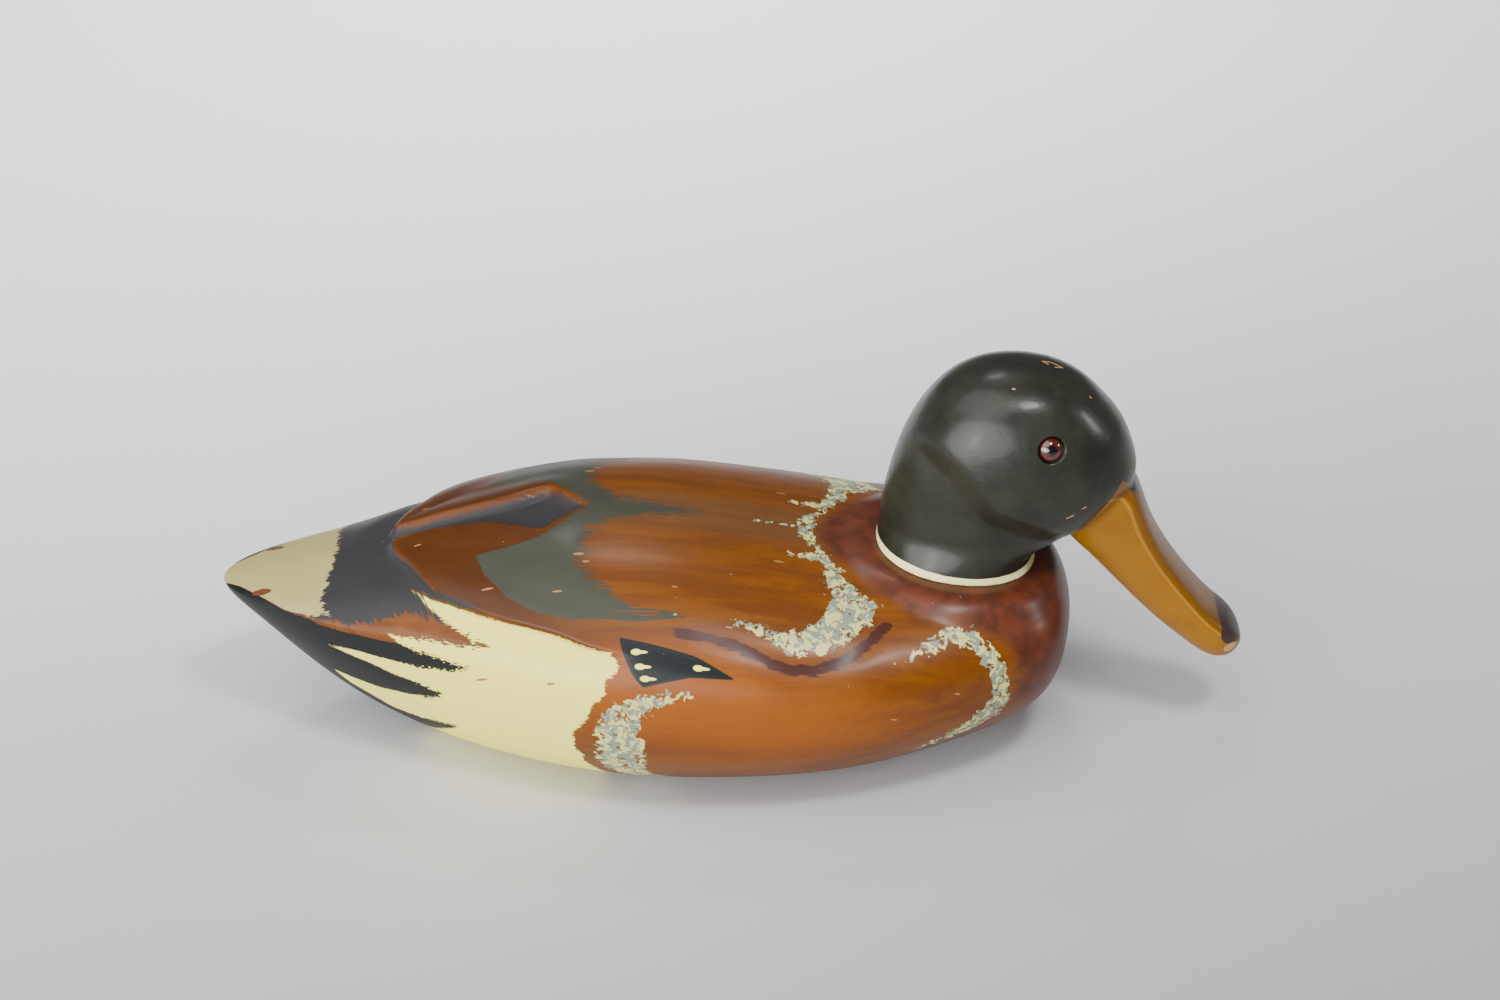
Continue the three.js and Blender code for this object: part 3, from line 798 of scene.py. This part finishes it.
def makeEye(side, name):
    # a glass dome turned from its profile
    centre, outward = eyeFrame(side)
    radius, dome = eyeSize["radius"], eyeSize["dome"]
    ball = (radius * radius + dome * dome) / (2 * dome)
    shape = bmesh.new()
    widest = math.asin(radius / ball)
    profile = [(ball * math.sin(a), ball * math.cos(a) - ball + dome) for a in np.linspace(0, widest, 15)]
    profile += [(radius, -eyeSize["back"] + 0.5), (radius - 0.5, -eyeSize["back"]), (0, -eyeSize["back"])]
    verts = [shape.verts.new((across, 0, along)) for across, along in profile]
    edges = [shape.edges.new(pair) for pair in zip(verts, verts[1:])]
    bmesh.ops.spin(shape, geom=verts + edges, axis=(0, 0, 1), cent=(0, 0, 0), angle=2 * math.pi, steps=48,
                   use_merge=True)
    bmesh.ops.remove_doubles(shape, verts=shape.verts, dist=1e-4)
    eye = asObject(name, shape)
    points = readPoints(eye.data)
    keepNumber(eye.data, "fromAxis", np.hypot(points[:, 0], points[:, 1]))
    turn = outward.to_track_quat("Z", "Y").to_matrix().to_4x4()
    sunk = Matrix.Translation((centre - outward * eyeSize["sink"]) * mm)
    eye.data.transform(sunk @ turn @ Matrix.Scale(mm, 4))
    return eye


head = shapeHead()
sockets = []
for side in (1, -1):
    centre, outward = eyeFrame(side)
    sockets.append(cutterBar(centre - outward * 5.2, centre + outward * 8, eyeSize["radius"] + 0.3))
seatTrim = cutterBar(onNeck(-60), onNeck(0.3), headSize["seatTrim"], segments=96)
carve(head, sockets + [seatTrim, cutterBar(onNeck(-2), onNeck(24.3), 8.3)])

headPoints = readPoints(head.data) / mm
headX, headY, headZ = headPoints.T
# how far past the face's edge each point lies: straight down the cheek, with a dark wedge on top
(faceX, faceZ), (faceRunX, faceRunZ) = headSize["faceEdge"]
pastFace = ((headX - faceX) * faceRunZ - (headZ - faceZ) * faceRunX) / math.hypot(faceRunX, faceRunZ)
pastFace += 1.5 * smoothStep(headZ, 98, 106)
wedgeHalf = np.maximum(4 + 0.62 * (headZ - 100), 1)
wedge = 60 * np.clip(1 - np.abs(headY) / wedgeHalf, 0, 0.5) * smoothStep(headZ, 98, 104)
keepNumber(head.data, "billEdge", np.minimum(pastFace - wedge, (headSize["lobeTop"] - headZ) * 0.9))
# how near the bill's top plane each point is: 1 on the plane
share = np.clip((headX - headSize["billStart"]) / headSize["billRun"], 0.03, 0.97)
for _ in range(14):
    slope, length = billSlope(share)
    reach = (headZ - headSize["drop"] - spineAt(share)) * length
    nearer = (headX - headSize["billStart"] + slope / length * reach) / headSize["billRun"]
    share = np.clip((share + nearer) / 2, 0.03, 0.97)
keepNumber(head.data, "billTop", reach / billThick(np.arccos(1 - 2 * share)))
height, fromNeck = aboutNeck(headPoints)
keepNumber(head.data, "aboveSeat", height + 100 * smoothStep(fromNeck, 37, 40))
head.data.shade_smooth()
leftEye = makeEye(1, "leftEye")
rightEye = makeEye(-1, "rightEye")
print("head shaped,", len(head.data.polygons), "faces")


# line eye and ring under the breast

lineSize = {
    "centre": (149.48, 0, 10.74),  # middle of the screw eye's loop
    "inward": (-0.4963, 0, 0.8682),  # the way its shank goes into the wood
    "eyeRadius": 3.5,
    "wire": 1.0,
    "shank": 16,
    "ringRadius": 6.0,
    "ringDrop": 1.2,  # the ring hangs this far below the loop's middle
    "ringLean": 55.0,  # degrees that the ring leans back at rest
}


def hoop(shape, centre, radius, wire, flat):
    # a wire hoop; flat is the direction through its middle
    start = bmesh.ops.create_circle(shape, segments=20, radius=wire * mm)["verts"]
    stand = Matrix.Translation((radius * mm, 0, 0)) @ Matrix.Rotation(math.pi / 2, 4, "X")
    bmesh.ops.transform(shape, matrix=stand, verts=start)
    edges = list({edge for vert in start for edge in vert.link_edges})
    bmesh.ops.spin(shape, geom=start + edges, axis=(0, 0, 1), cent=(0, 0, 0), angle=2 * math.pi, steps=72,
                   use_merge=True)
    bmesh.ops.remove_doubles(shape, verts=shape.verts, dist=1e-7)
    turn = Vector(flat).to_track_quat("Z", "Y").to_matrix().to_4x4()
    bmesh.ops.transform(shape, matrix=Matrix.Translation(Vector(centre) * mm) @ turn, verts=shape.verts)


lean = math.radians(lineSize["ringLean"])
loopCentre = Vector(lineSize["centre"])
hang = Vector((-math.sin(lean), 0, -math.cos(lean))) * lineSize["ringRadius"]
ringShape = bmesh.new()
ringFace = (math.cos(lean), 0, -math.sin(lean))
hoop(ringShape, loopCentre - Vector((0, 0, lineSize["ringDrop"])) + hang, lineSize["ringRadius"],
     lineSize["wire"], ringFace)
lineRing = asObject("lineRing", ringShape)

eyeShape = bmesh.new()
hoop(eyeShape, loopCentre, lineSize["eyeRadius"], lineSize["wire"], (0, 1, 0))
inward = Vector(lineSize["inward"])
shankStart = loopCentre + inward * (lineSize["eyeRadius"] - 0.3)
shankEnd = shankStart + inward * lineSize["shank"]
barAlong(eyeShape, shankStart, shankEnd, lineSize["wire"] * 1.2, segments=20)
barAlong(eyeShape, shankStart + inward * 0.4, shankStart + inward * 1.3, 2.4, endRadius=2.0, segments=28)
lineEye = asObject("lineEye", eyeShape)
print("line eye and ring made")


# body paint

bodyPaint = {
    # colours are linear, as the shaders take them
    "stainMid": (0.17, 0.05, 0.0026, 1),
    "stainDark": (0.118, 0.032, 0.0024, 1),
    # painted light: the stain made brighter where light falls on the mid flank
    "stainPaintedLight": (0.27, 0.07, 0.004, 1),
    "stainWing": (0.056, 0.0165, 0.003, 1),
    # painted sheen: the stain greyed on the back's top as if reflecting the room
    "stainPaintedSheen": (0.115, 0.066, 0.03, 1),
    "grain": (0.05, 0.012, 0.002, 1),
    "cape": (0.105, 0.024, 0.011, 1),
    "capeDark": (0.055, 0.014, 0.008, 1),
    "cream": (0.93, 0.86, 0.17, 1),
    "creamDull": (0.84, 0.76, 0.16, 1),
    # the tail's cream: duller than the flank's and darkened as painted shade on its upward faces
    "tailCreamShaded": (0.43, 0.37, 0.145, 1),
    "tailDullShaded": (0.36, 0.31, 0.12, 1),
    "black": (0.03, 0.0285, 0.03, 1),
    "underBlack": (0.008, 0.009, 0.009, 1),
    "greyGreen": (0.037, 0.04, 0.027, 1),
    "greyGreenLight": (0.048, 0.051, 0.035, 1),
    "teal": (0.0025, 0.006, 0.0065, 1),
    "tealEdge": (0.004, 0.007, 0.008, 1),
    "fleckCream": (0.6, 0.55, 0.2, 1),
    "fleckGrey": (0.2, 0.25, 0.18, 1),
    "hair": (0.034, 0.008, 0.006, 1),
    "bareWood": (0.36, 0.17, 0.06, 1),
    "tailWear": (0.12, 0.045, 0.015, 1),
    "drops": [(0.2, 71.5), (1.7, 77), (3.7, 81.5), (23.5, 76.2)],  # along, down the side
    "tailChip": [(-150.3, 15.4, 0), (3.8, 1.8, 1)],  # place and reach
    "chips": [
        # along, down the side, half length, half height
        (-24, 29, 2.2, 0.9), (-21, 33, 1.6, 0.7), (-58, 41, 2.4, 0.7), (-31, 46, 2.0, 0.6),
        (-60, 77, 2.6, 0.8), (-33, 82, 1.8, 0.7), (34, 59, 1.6, 0.5), (52, 24, 2.2, 0.6),
        (96, 88, 1.4, 0.6), (120, 74, 1.2, 0.6), (-88, 12, 1.5, 0.6), (13, 44, 1.3, 0.5),
    ],
    "roughness": 0.4,
    "shine": 0.2,
    "coat": 0.1,
    "coatRoughness": 0.2,
}


def strokes(paint, lengthwise, across, detail=3.0):
    # noise drawn out along the body, as a brush leaves it
    stretched = paint.scaled(paint.place(), (1 / lengthwise, 0.6 / across, 0.6 / across))
    return (paint.noise(stretched, 1.0, detail, 0.55) - 0.5) * 4.0


def brushed(paint, name, lengthwise=14.0, across=1.1, reach=1.0, soft=0.25):
    # a painted shape's mask, with its edge broken up by the brush
    edge = paint.number(name) + strokes(paint, lengthwise, across) * reach
    return paint.step(edge, -soft, soft)


def stainedWood(paint, look, place, flat):
    # stain on wood: figure along the body, darker wings, a painted pool of light on the mid flank and a
    # painted sheen that greys the back
    x, down = paint.parts(flat)[:2]
    grain = paint.noise(paint.scaled(place, (0.012, 0.16, 0.16)), 1.0, 4, 0.6, 0.6)
    fine = paint.noise(paint.scaled(place, (0.05, 1.6, 1.6)), 1.0, 3, 0.6)
    cloudy = paint.noise(paint.scaled(place, (0.014, 0.022, 0.022)), 1.0, 2, 0.5)
    colour = paint.mix(paint.step(grain, 0.36, 0.66), look["stainDark"], look["stainMid"])
    # painted light: a brighter patch of stain on the mid flank
    paintedLightPool = paint.spotMask(paint.scaled(flat, (1, 1, 0)), (26, 90, 0), (66, 20, 1), 0.6)
    paintedLightPool = paintedLightPool * (0.35 + 0.65 * paint.step(cloudy, 0.35, 0.6))
    colour = paint.mix(paintedLightPool, colour, look["stainPaintedLight"])
    wing = paint.step(paint.number("wing"), -1, 3) * paint.step(x, -8, -46)
    colour = paint.mix(wing * 0.85, colour, look["stainWing"])
    # painted sheen: the back's top greyed
    back = paint.step(down, 20, 4) * paint.step(x, -40, 10)
    colour = paint.mix(back * 0.5, colour, look["stainPaintedSheen"])
    streaks = paint.step(fine, 0.5, 0.72) * 0.5 + paint.step(cloudy, 0.5, 0.7) * 0.35
    return paint.mix(streaks * 0.42, colour, look["grain"]), grain, fine


def fleckMask(paint, place, name, seed, size, amount, spread=3.0):
    # broken dabs of paint inside a band, thicker towards its middle
    inside = paint.number(name)
    dabs = paint.noise(paint.moved(place, (seed, seed * 0.7, -seed)), size, 2.0, 0.6, 1.2)
    ragged = inside + strokes(paint, 2.6, 2.2) * 1.6
    body = paint.step(ragged, -spread * 0.5, spread)
    return paint.step(dabs + (body - 1.0) * 0.36, amount, amount + 0.015)


def paintBody(look):
    paint = Paint("paintedBody")
    place = paint.place()
    flat = paint.vector("flat")
    page = paint.scaled(flat, (1, 1, 0))
    x, down, side = paint.parts(flat)
    colour, grain, fine = stainedWood(paint, look, place, flat)

    def over(mask, second):
        nonlocal colour
        colour = paint.mix(mask, colour, second)
        return mask

    mottled = paint.noise(place, 0.12, 3, 0.6)
    cape = brushed(paint, "cape", 20, 5, 2.5, soft=4.0)
    over(cape * 0.9, paint.mix(paint.step(mottled, 0.35, 0.65), look["capeDark"], look["cape"]))

    # maroon hair line along the shoulder
    line = paint.number("hairLine") + strokes(paint, 5, 0.9) * 1.1
    hair = paint.step(line, 2.5, 1.6) * paint.step(x, 12, 15)
    over(hair * 0.92, look["hair"])

    # black underside, then the pale flank with its long spears
    under = over(brushed(paint, "underPaint", 24, 0.8, 0.5), look["underBlack"])
    spearEnds = paint.step(x, -98, -84) * paint.step(x, -50, -60) * paint.step(down, 44, 54)
    spread = 0.3 + 1.5 * spearEnds + 1.0 * paint.step(x, -34, -26)
    flankEdge = paint.number("flankPaint") + strokes(paint, 18, 0.4) * spread
    flank = over(paint.step(flankEdge, -0.2, 0.35),
                 paint.mix(mottled, look["creamDull"], look["cream"]))
    # the rump's black ends in short hairs that lean back
    lean = paint.add("ShaderNodeCombineXYZ", None, {0: (x - down * 0.45) * 0.8, 1: down * 0.07, 2: side})
    hairs = (paint.noise(lean, 1.0, 3, 0.6) - 0.5) * 4.0
    reach = 0.3 + 2.2 * paint.step(down, 33, 39) * paint.step(x, -72, -82)
    rumpEdge = paint.number("rumpPaint") + hairs * reach
    rump = over(paint.step(rumpEdge, -1.0, 0.8), look["black"])
    jagged = strokes(paint, 8, 0.6) * 2.2
    # the tail's cream carries painted shade for its upward faces
    tail = over(paint.step(paint.number("tailPaint") + jagged * paint.step(x, -140, -126), -0.2, 0.3),
                paint.mix(mottled, look["tailDullShaded"], look["tailCreamShaded"]))

    # grey-green scapular with a spiky front edge
    spikes = strokes(paint, 18, 0.5) * (0.25 + 6.0 * paint.step(x, -34, -22) * paint.step(down, 59, 55))
    scapular = over(paint.step(paint.number("scapular") + spikes, -0.15, 0.25),
                    paint.mix(mottled, look["greyGreen"], look["greyGreenLight"]))

    # speculum with pale drops
    window = paint.number("speculum")
    over(paint.step(window, -0.25, 0.15), look["tealEdge"])
    speculum = over(paint.step(window, 0.7, 1.3), look["teal"])
    for dropX, dropDown in look["drops"]:
        blob = paint.spotMask(page, (dropX - 0.7, dropDown, 0), (1.9, 1.15, 1), 0.12)
        tip = paint.spotMask(page, (dropX + 1.0, dropDown, 0), (2.6, 0.6, 1), 0.12)
        over(blob.higher(tip), look["cream"])

    # broken dabs: grey-green first, cream over it
    flecks = None
    for name, seed in (("shoulderBand", 3.0), ("flankBand", 17.0), ("breastBand", 31.0)):
        grey = fleckMask(paint, place, name, seed, 0.25, 0.42, spread=3.6)
        pale = fleckMask(paint, place, name, seed + 7.7, 0.27, 0.505, spread=2.4)
        over(grey, look["fleckGrey"])
        over(pale, look["fleckCream"])
        both = grey.higher(pale)
        flecks = both if flecks is None else flecks.higher(both)

    # knocks: brown rings and chips on the tail, pale chips on the wings
    tailChip = paint.spotMask(page, *look["tailChip"], 0.4)
    tailChip = paint.step(tailChip + strokes(paint, 1.2, 0.8) * 0.3, 0.4, 0.55)
    over(tailChip, look["tailWear"])
    for chipX, chipDown, long, tall in look["chips"]:
        chip = paint.spotMask(page, (chipX, chipDown, 0), (long * 0.9, tall * 0.7, 1), 0.3)
        over(paint.step(chip + strokes(paint, 1.5, 0.7) * 0.4, 0.4, 0.6), look["bareWood"])

    # small chips and rubbed spots
    chips = paint.step(paint.noise(place, 0.42, 2, 0.5, 0.5) + (mottled - 0.5) * 0.5, 0.86, 0.875)
    over(chips * 0.8, look["bareWood"])

    opaque = flank.higher(rump).higher(tail).higher(scapular).higher(speculum).higher(under)
    height = fine * 0.25 + grain * 0.2 + opaque * 0.9 + flecks * 1.1 - chips * 1.2
    normal = paint.bump(height, 0.12, 0.6)
    rough = look["roughness"] + 0.08 * (mottled - 0.5) + 0.1 * opaque + 0.12 * flecks
    return paint.finish(colour, rough, normal, Specular_IOR_Level=look["shine"],
                        Coat_Weight=look["coat"], Coat_Roughness=look["coatRoughness"])


body.data.materials.clear()
body.data.materials.append(paintBody(bodyPaint))
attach(body, "body")
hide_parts("body_block")
print("body painted")


# head paint

headPaint = {
    "green": (0.0135, 0.0148, 0.01, 1),
    "greenLight": (0.024, 0.0252, 0.017, 1),
    "bill": (0.25, 0.102, 0.001, 1),
    "billDark": (0.21, 0.082, 0.001, 1),
    # painted shade on the bill's top plane, and a painted highlight along its edge with the side
    "billTop": (0.12, 0.045, 0.001, 1),
    "billRimHighlight": (0.5, 0.24, 0.03, 1),
    "nail": (0.03, 0.018, 0.014, 1),
    "nailAt": [(228.4, 0, 47.6), (7.4, 15.5, 7.2)],  # middle and reach
    "chipAt": [(229.2, -11.6, 41.2), (3.2, 3.2, 2.2)],
    "wood": (0.5, 0.28, 0.1, 1),
    "ring": (0.95, 0.89, 0.42, 1),
    "knocks": [
        # start, end, half width in millimetres
        ((150.6, 3.6, 161.4), (152.6, 2.0, 161.2), 0.5),
        ((150.6, 3.6, 161.4), (153.6, 4.4, 160.6), 0.45),
        ((153.6, 4.4, 160.6), (158.2, 2.6, 159.4), 0.5),
        ((158.2, 2.6, 159.4), (155.2, 1.0, 160.4), 0.4),
        ((163.0, -28.4, 115.2), (167.0, -27.2, 116.4), 0.4),
        ((160.0, -29.4, 112.4), (162.6, -28.6, 113.4), 0.35),
        ((138.6, -14.1, 159.7), (139.2, -14.1, 159.6), 0.5),
        ((168.0, -7.7, 152.7), (168.3, -7.7, 152.4), 0.5),
        ((126.5, -21.5, 150.5), (126.9, -21.5, 150.3), 0.4),
    ],
    "ringTop": 3.3,
    "roughness": 0.36,
    "shine": 0.22,
    "coat": 0.2,
    "coatRoughness": 0.2,
}


def paintHead(look):
    paint = Paint("paintedHead")
    place = paint.place()
    mottled = paint.noise(place, 0.07, 4, 0.6)
    fine = paint.noise(place, 0.5, 4, 0.65)
    green = paint.mix(paint.step(mottled, 0.3, 0.75), look["green"], look["greenLight"])
    yellow = paint.mix(paint.step(paint.noise(place, 0.09, 4, 0.6), 0.4, 0.8), look["bill"],
                       look["billDark"])
    billEdge = paint.number("billEdge") + (paint.noise(place, 0.35, 3, 0.5) - 0.5) * 0.9
    bill = paint.step(billEdge, -0.2, 0.2)
    topPlane = paint.number("billTop")
    # painted shade on the bill's top plane, then a painted highlight along the edge between top and side
    yellow = paint.mix(paint.step(topPlane, 0.62, 0.74) * 0.75, yellow, look["billTop"])
    yellow = paint.mix(paint.step(abs(topPlane - 0.62), 0.06, 0.01) * 0.4, yellow, look["billRimHighlight"])
    colour = paint.mix(bill, green, yellow)

    def over(mask, second):
        nonlocal colour
        colour = paint.mix(mask, colour, look[second])

    over(paint.step(abs(billEdge), 0.9, 0.3) * (1 - bill) * 0.5, "green")

    # nail with a bare chip at its edge
    ragged = (paint.noise(place, 0.5, 3, 0.6) - 0.5) * 1.2
    over(paint.step(paint.spotMask(place, *look["nailAt"], 0.05) + ragged * 0.3, 0.4, 0.6), "nail")
    chip = paint.spotMask(place, *look["chipAt"], 0.2)
    chip = paint.step(chip + ragged * 0.4, 0.45, 0.6)
    over(chip, "wood")

    # knocks: bare lines on the crown and by the bill, specks near the brow
    knocks = None
    for start, end, width in look["knocks"]:
        mark = paint.scratch(start, end, width)
        knocks = mark if knocks is None else knocks.higher(mark)
    knocks = paint.step(knocks + ragged * 0.5, 0.35, 0.6)
    over(knocks, "wood")

    # pale ring round the neck's foot
    above = paint.number("aboveSeat") + (paint.noise(place, 0.12, 2, 0.5) - 0.5) * 0.9
    ring = paint.step(above, look["ringTop"] + 0.2, look["ringTop"] - 0.2)
    over(ring, "ring")
    lumps = paint.noise(place, 0.16, 3, 0.55)
    height = fine * 0.35 + mottled * 0.8 + lumps * 3.6 + ring * 1.4 + bill * 1.2 - chip * 4 - knocks * 2
    normal = paint.bump(height, 0.1, 0.7)
    rough = look["roughness"] + 0.14 * (mottled - 0.5) + 0.08 * bill + 0.1 * ring
    return paint.finish(colour, rough, normal, Specular_IOR_Level=look["shine"],
                        Coat_Weight=look["coat"], Coat_Roughness=look["coatRoughness"])


head.data.materials.clear()
head.data.materials.append(paintHead(headPaint))
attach(head, "head")
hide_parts("head")
print("head painted")


# glass eyes

eyePaint = {
    "iris": (0.09, 0.012, 0.006, 1),
    "irisDark": (0.03, 0.005, 0.003, 1),
    "pupil": (0.002, 0.002, 0.002, 1),
    "rim": (0.02, 0.004, 0.003, 1),
    "pupilRadius": 2.0,
    "rimRadius": 4.0,
}


def paintEye(look):
    paint = Paint("eyeGlass")
    radius = paint.number("fromAxis")
    rays = paint.noise(paint.place(), 2.2, 3, 0.6)
    pupil = paint.step(radius, look["pupilRadius"], look["pupilRadius"] - 0.2)
    rim = paint.step(radius, look["rimRadius"], look["rimRadius"] + 0.6)
    colour = paint.mix(pupil, paint.mix(rays, look["iris"], look["irisDark"]), look["pupil"])
    colour = paint.mix(rim, colour, look["rim"])
    return paint.finish(colour, 0.08 + rays * 0.05, None, Coat_Weight=1.0, Coat_Roughness=0.02)


eyeGlass = paintEye(eyePaint)
for eye, node in ((leftEye, "eye_left"), (rightEye, "eye_right")):
    eye.data.materials.append(eyeGlass)
    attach(eye, "head")
    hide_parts(node)
print("eyes painted")


# plain finishes for the fittings

def paintMetal(name, colour, tarnish, roughness, scale=0.8, metallic=1.0):
    paint = Paint(name)
    place = paint.place()
    cloudy = paint.noise(place, scale * 0.3, 4, 0.6)
    fine = paint.noise(place, scale * 2.5, 3, 0.6)
    worn = paint.step(cloudy + fine * 0.4, 0.5, 0.95)
    shade = paint.mix(worn, colour, tarnish)
    normal = paint.bump(fine * 0.6 + cloudy, 0.06, 0.5)
    return paint.finish(shade, roughness + worn * 0.25, normal, Metallic=metallic)


def paintWood(name, light, dark, roughness=0.55, length=0.02):
    paint = Paint(name)
    place = paint.place()
    figure = paint.noise(paint.scaled(place, (length, 0.2, 0.35)), 1.0, 4, 0.6, 0.8)
    fine = paint.noise(paint.scaled(place, (length * 3, 2.2, 2.2)), 1.0, 3, 0.6)
    colour = paint.mix(paint.step(figure, 0.35, 0.7), light, dark)
    colour = paint.mix(paint.step(fine, 0.52, 0.75) * 0.5, colour, dark)
    return paint.finish(colour, roughness + 0.15 * (fine - 0.5), paint.bump(fine + figure, 0.1, 0.5))


steel = paintMetal("galvanisedSteel", tone(168, 168, 164), tone(96, 92, 86), 0.3)
brass = paintMetal("brass", tone(188, 152, 84), tone(110, 80, 42), 0.28)
lead = paintMetal("lead", tone(104, 106, 112), tone(64, 66, 70), 0.5, metallic=0.9)
bareWood = paintWood("bareWood", tone(196, 154, 104), tone(150, 106, 64))
hardwood = paintWood("hardwood", tone(176, 124, 76), tone(128, 84, 48))


def paintCompound():
    paint = Paint("sealingCompound")
    place = paint.place()
    lumps = paint.noise(place, 0.4, 4, 0.6)
    colour = paint.mix(lumps, tone(52, 48, 44), tone(82, 76, 68))
    return paint.finish(colour, 0.5 + 0.2 * (lumps - 0.5), paint.bump(lumps, 0.25, 0.7))


finishes = {
    "bottom_board": bareWood,
    "board_seal": paintCompound(),
    "ballast_weight": lead,
    "neck_dowel": hardwood,
    "neck_plug": hardwood,
    "neck_screw": steel,
    "neck_washer": steel,
}
finishes.update({name: brass for name in nodes if "_screw_" in name})
for name, finish in finishes.items():
    node = nodes[name]
    node.data.materials.clear()
    node.data.materials.append(finish)

for piece, node, rider in ((lineRing, "line_ring", "line_ring"), (lineEye, "line_eye", "body")):
    piece.data.materials.append(brass)
    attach(piece, rider)
    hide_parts(node)
print("fittings finished")


# floor and room

stageFinish = {
    # painted shade near the camera and painted light far off and to the left, on one paper
    "near": (0.3, 0.297, 0.3, 1),
    "far": (0.93, 0.925, 0.945, 1),
    "sweep": (-480, 620),  # millimetres over which the paper goes from near to far
    "room": (236, 238, 244),
    "roomStrength": 0.16,
}


def makeFloor():
    shape = bmesh.new()
    bmesh.ops.create_grid(shape, x_segments=2, y_segments=2, size=4.0)
    floor = asObject("floor", shape)
    paint = Paint("paperFloor")
    place = paint.place()
    fibres = paint.noise(place, 0.4, 4, 0.6)
    cloudy = paint.noise(place, 0.004, 2, 0.5)
    x, y = paint.parts(place)[:2]
    # painted light and shade: the paper darker near the camera and lighter far off and to the left
    sweep = paint.step(y * 0.9 - x * 0.35 + cloudy * 60, *stageFinish["sweep"])
    colour = paint.mix(sweep, stageFinish["near"], stageFinish["far"])
    paper = paint.finish(colour, 0.75 + 0.1 * (fibres - 0.5), paint.bump(fibres, 0.05, 0.4))
    floor.data.materials.append(paper)


def makeRoom():
    world = bpy.data.worlds.new("room")
    scene.world = world
    world.use_nodes = True
    tree = world.node_tree
    shade = tree.nodes["Background"]
    shade.inputs["Color"].default_value = tone(*stageFinish["room"])
    shade.inputs["Strength"].default_value = stageFinish["roomStrength"]


makeFloor()
makeRoom()
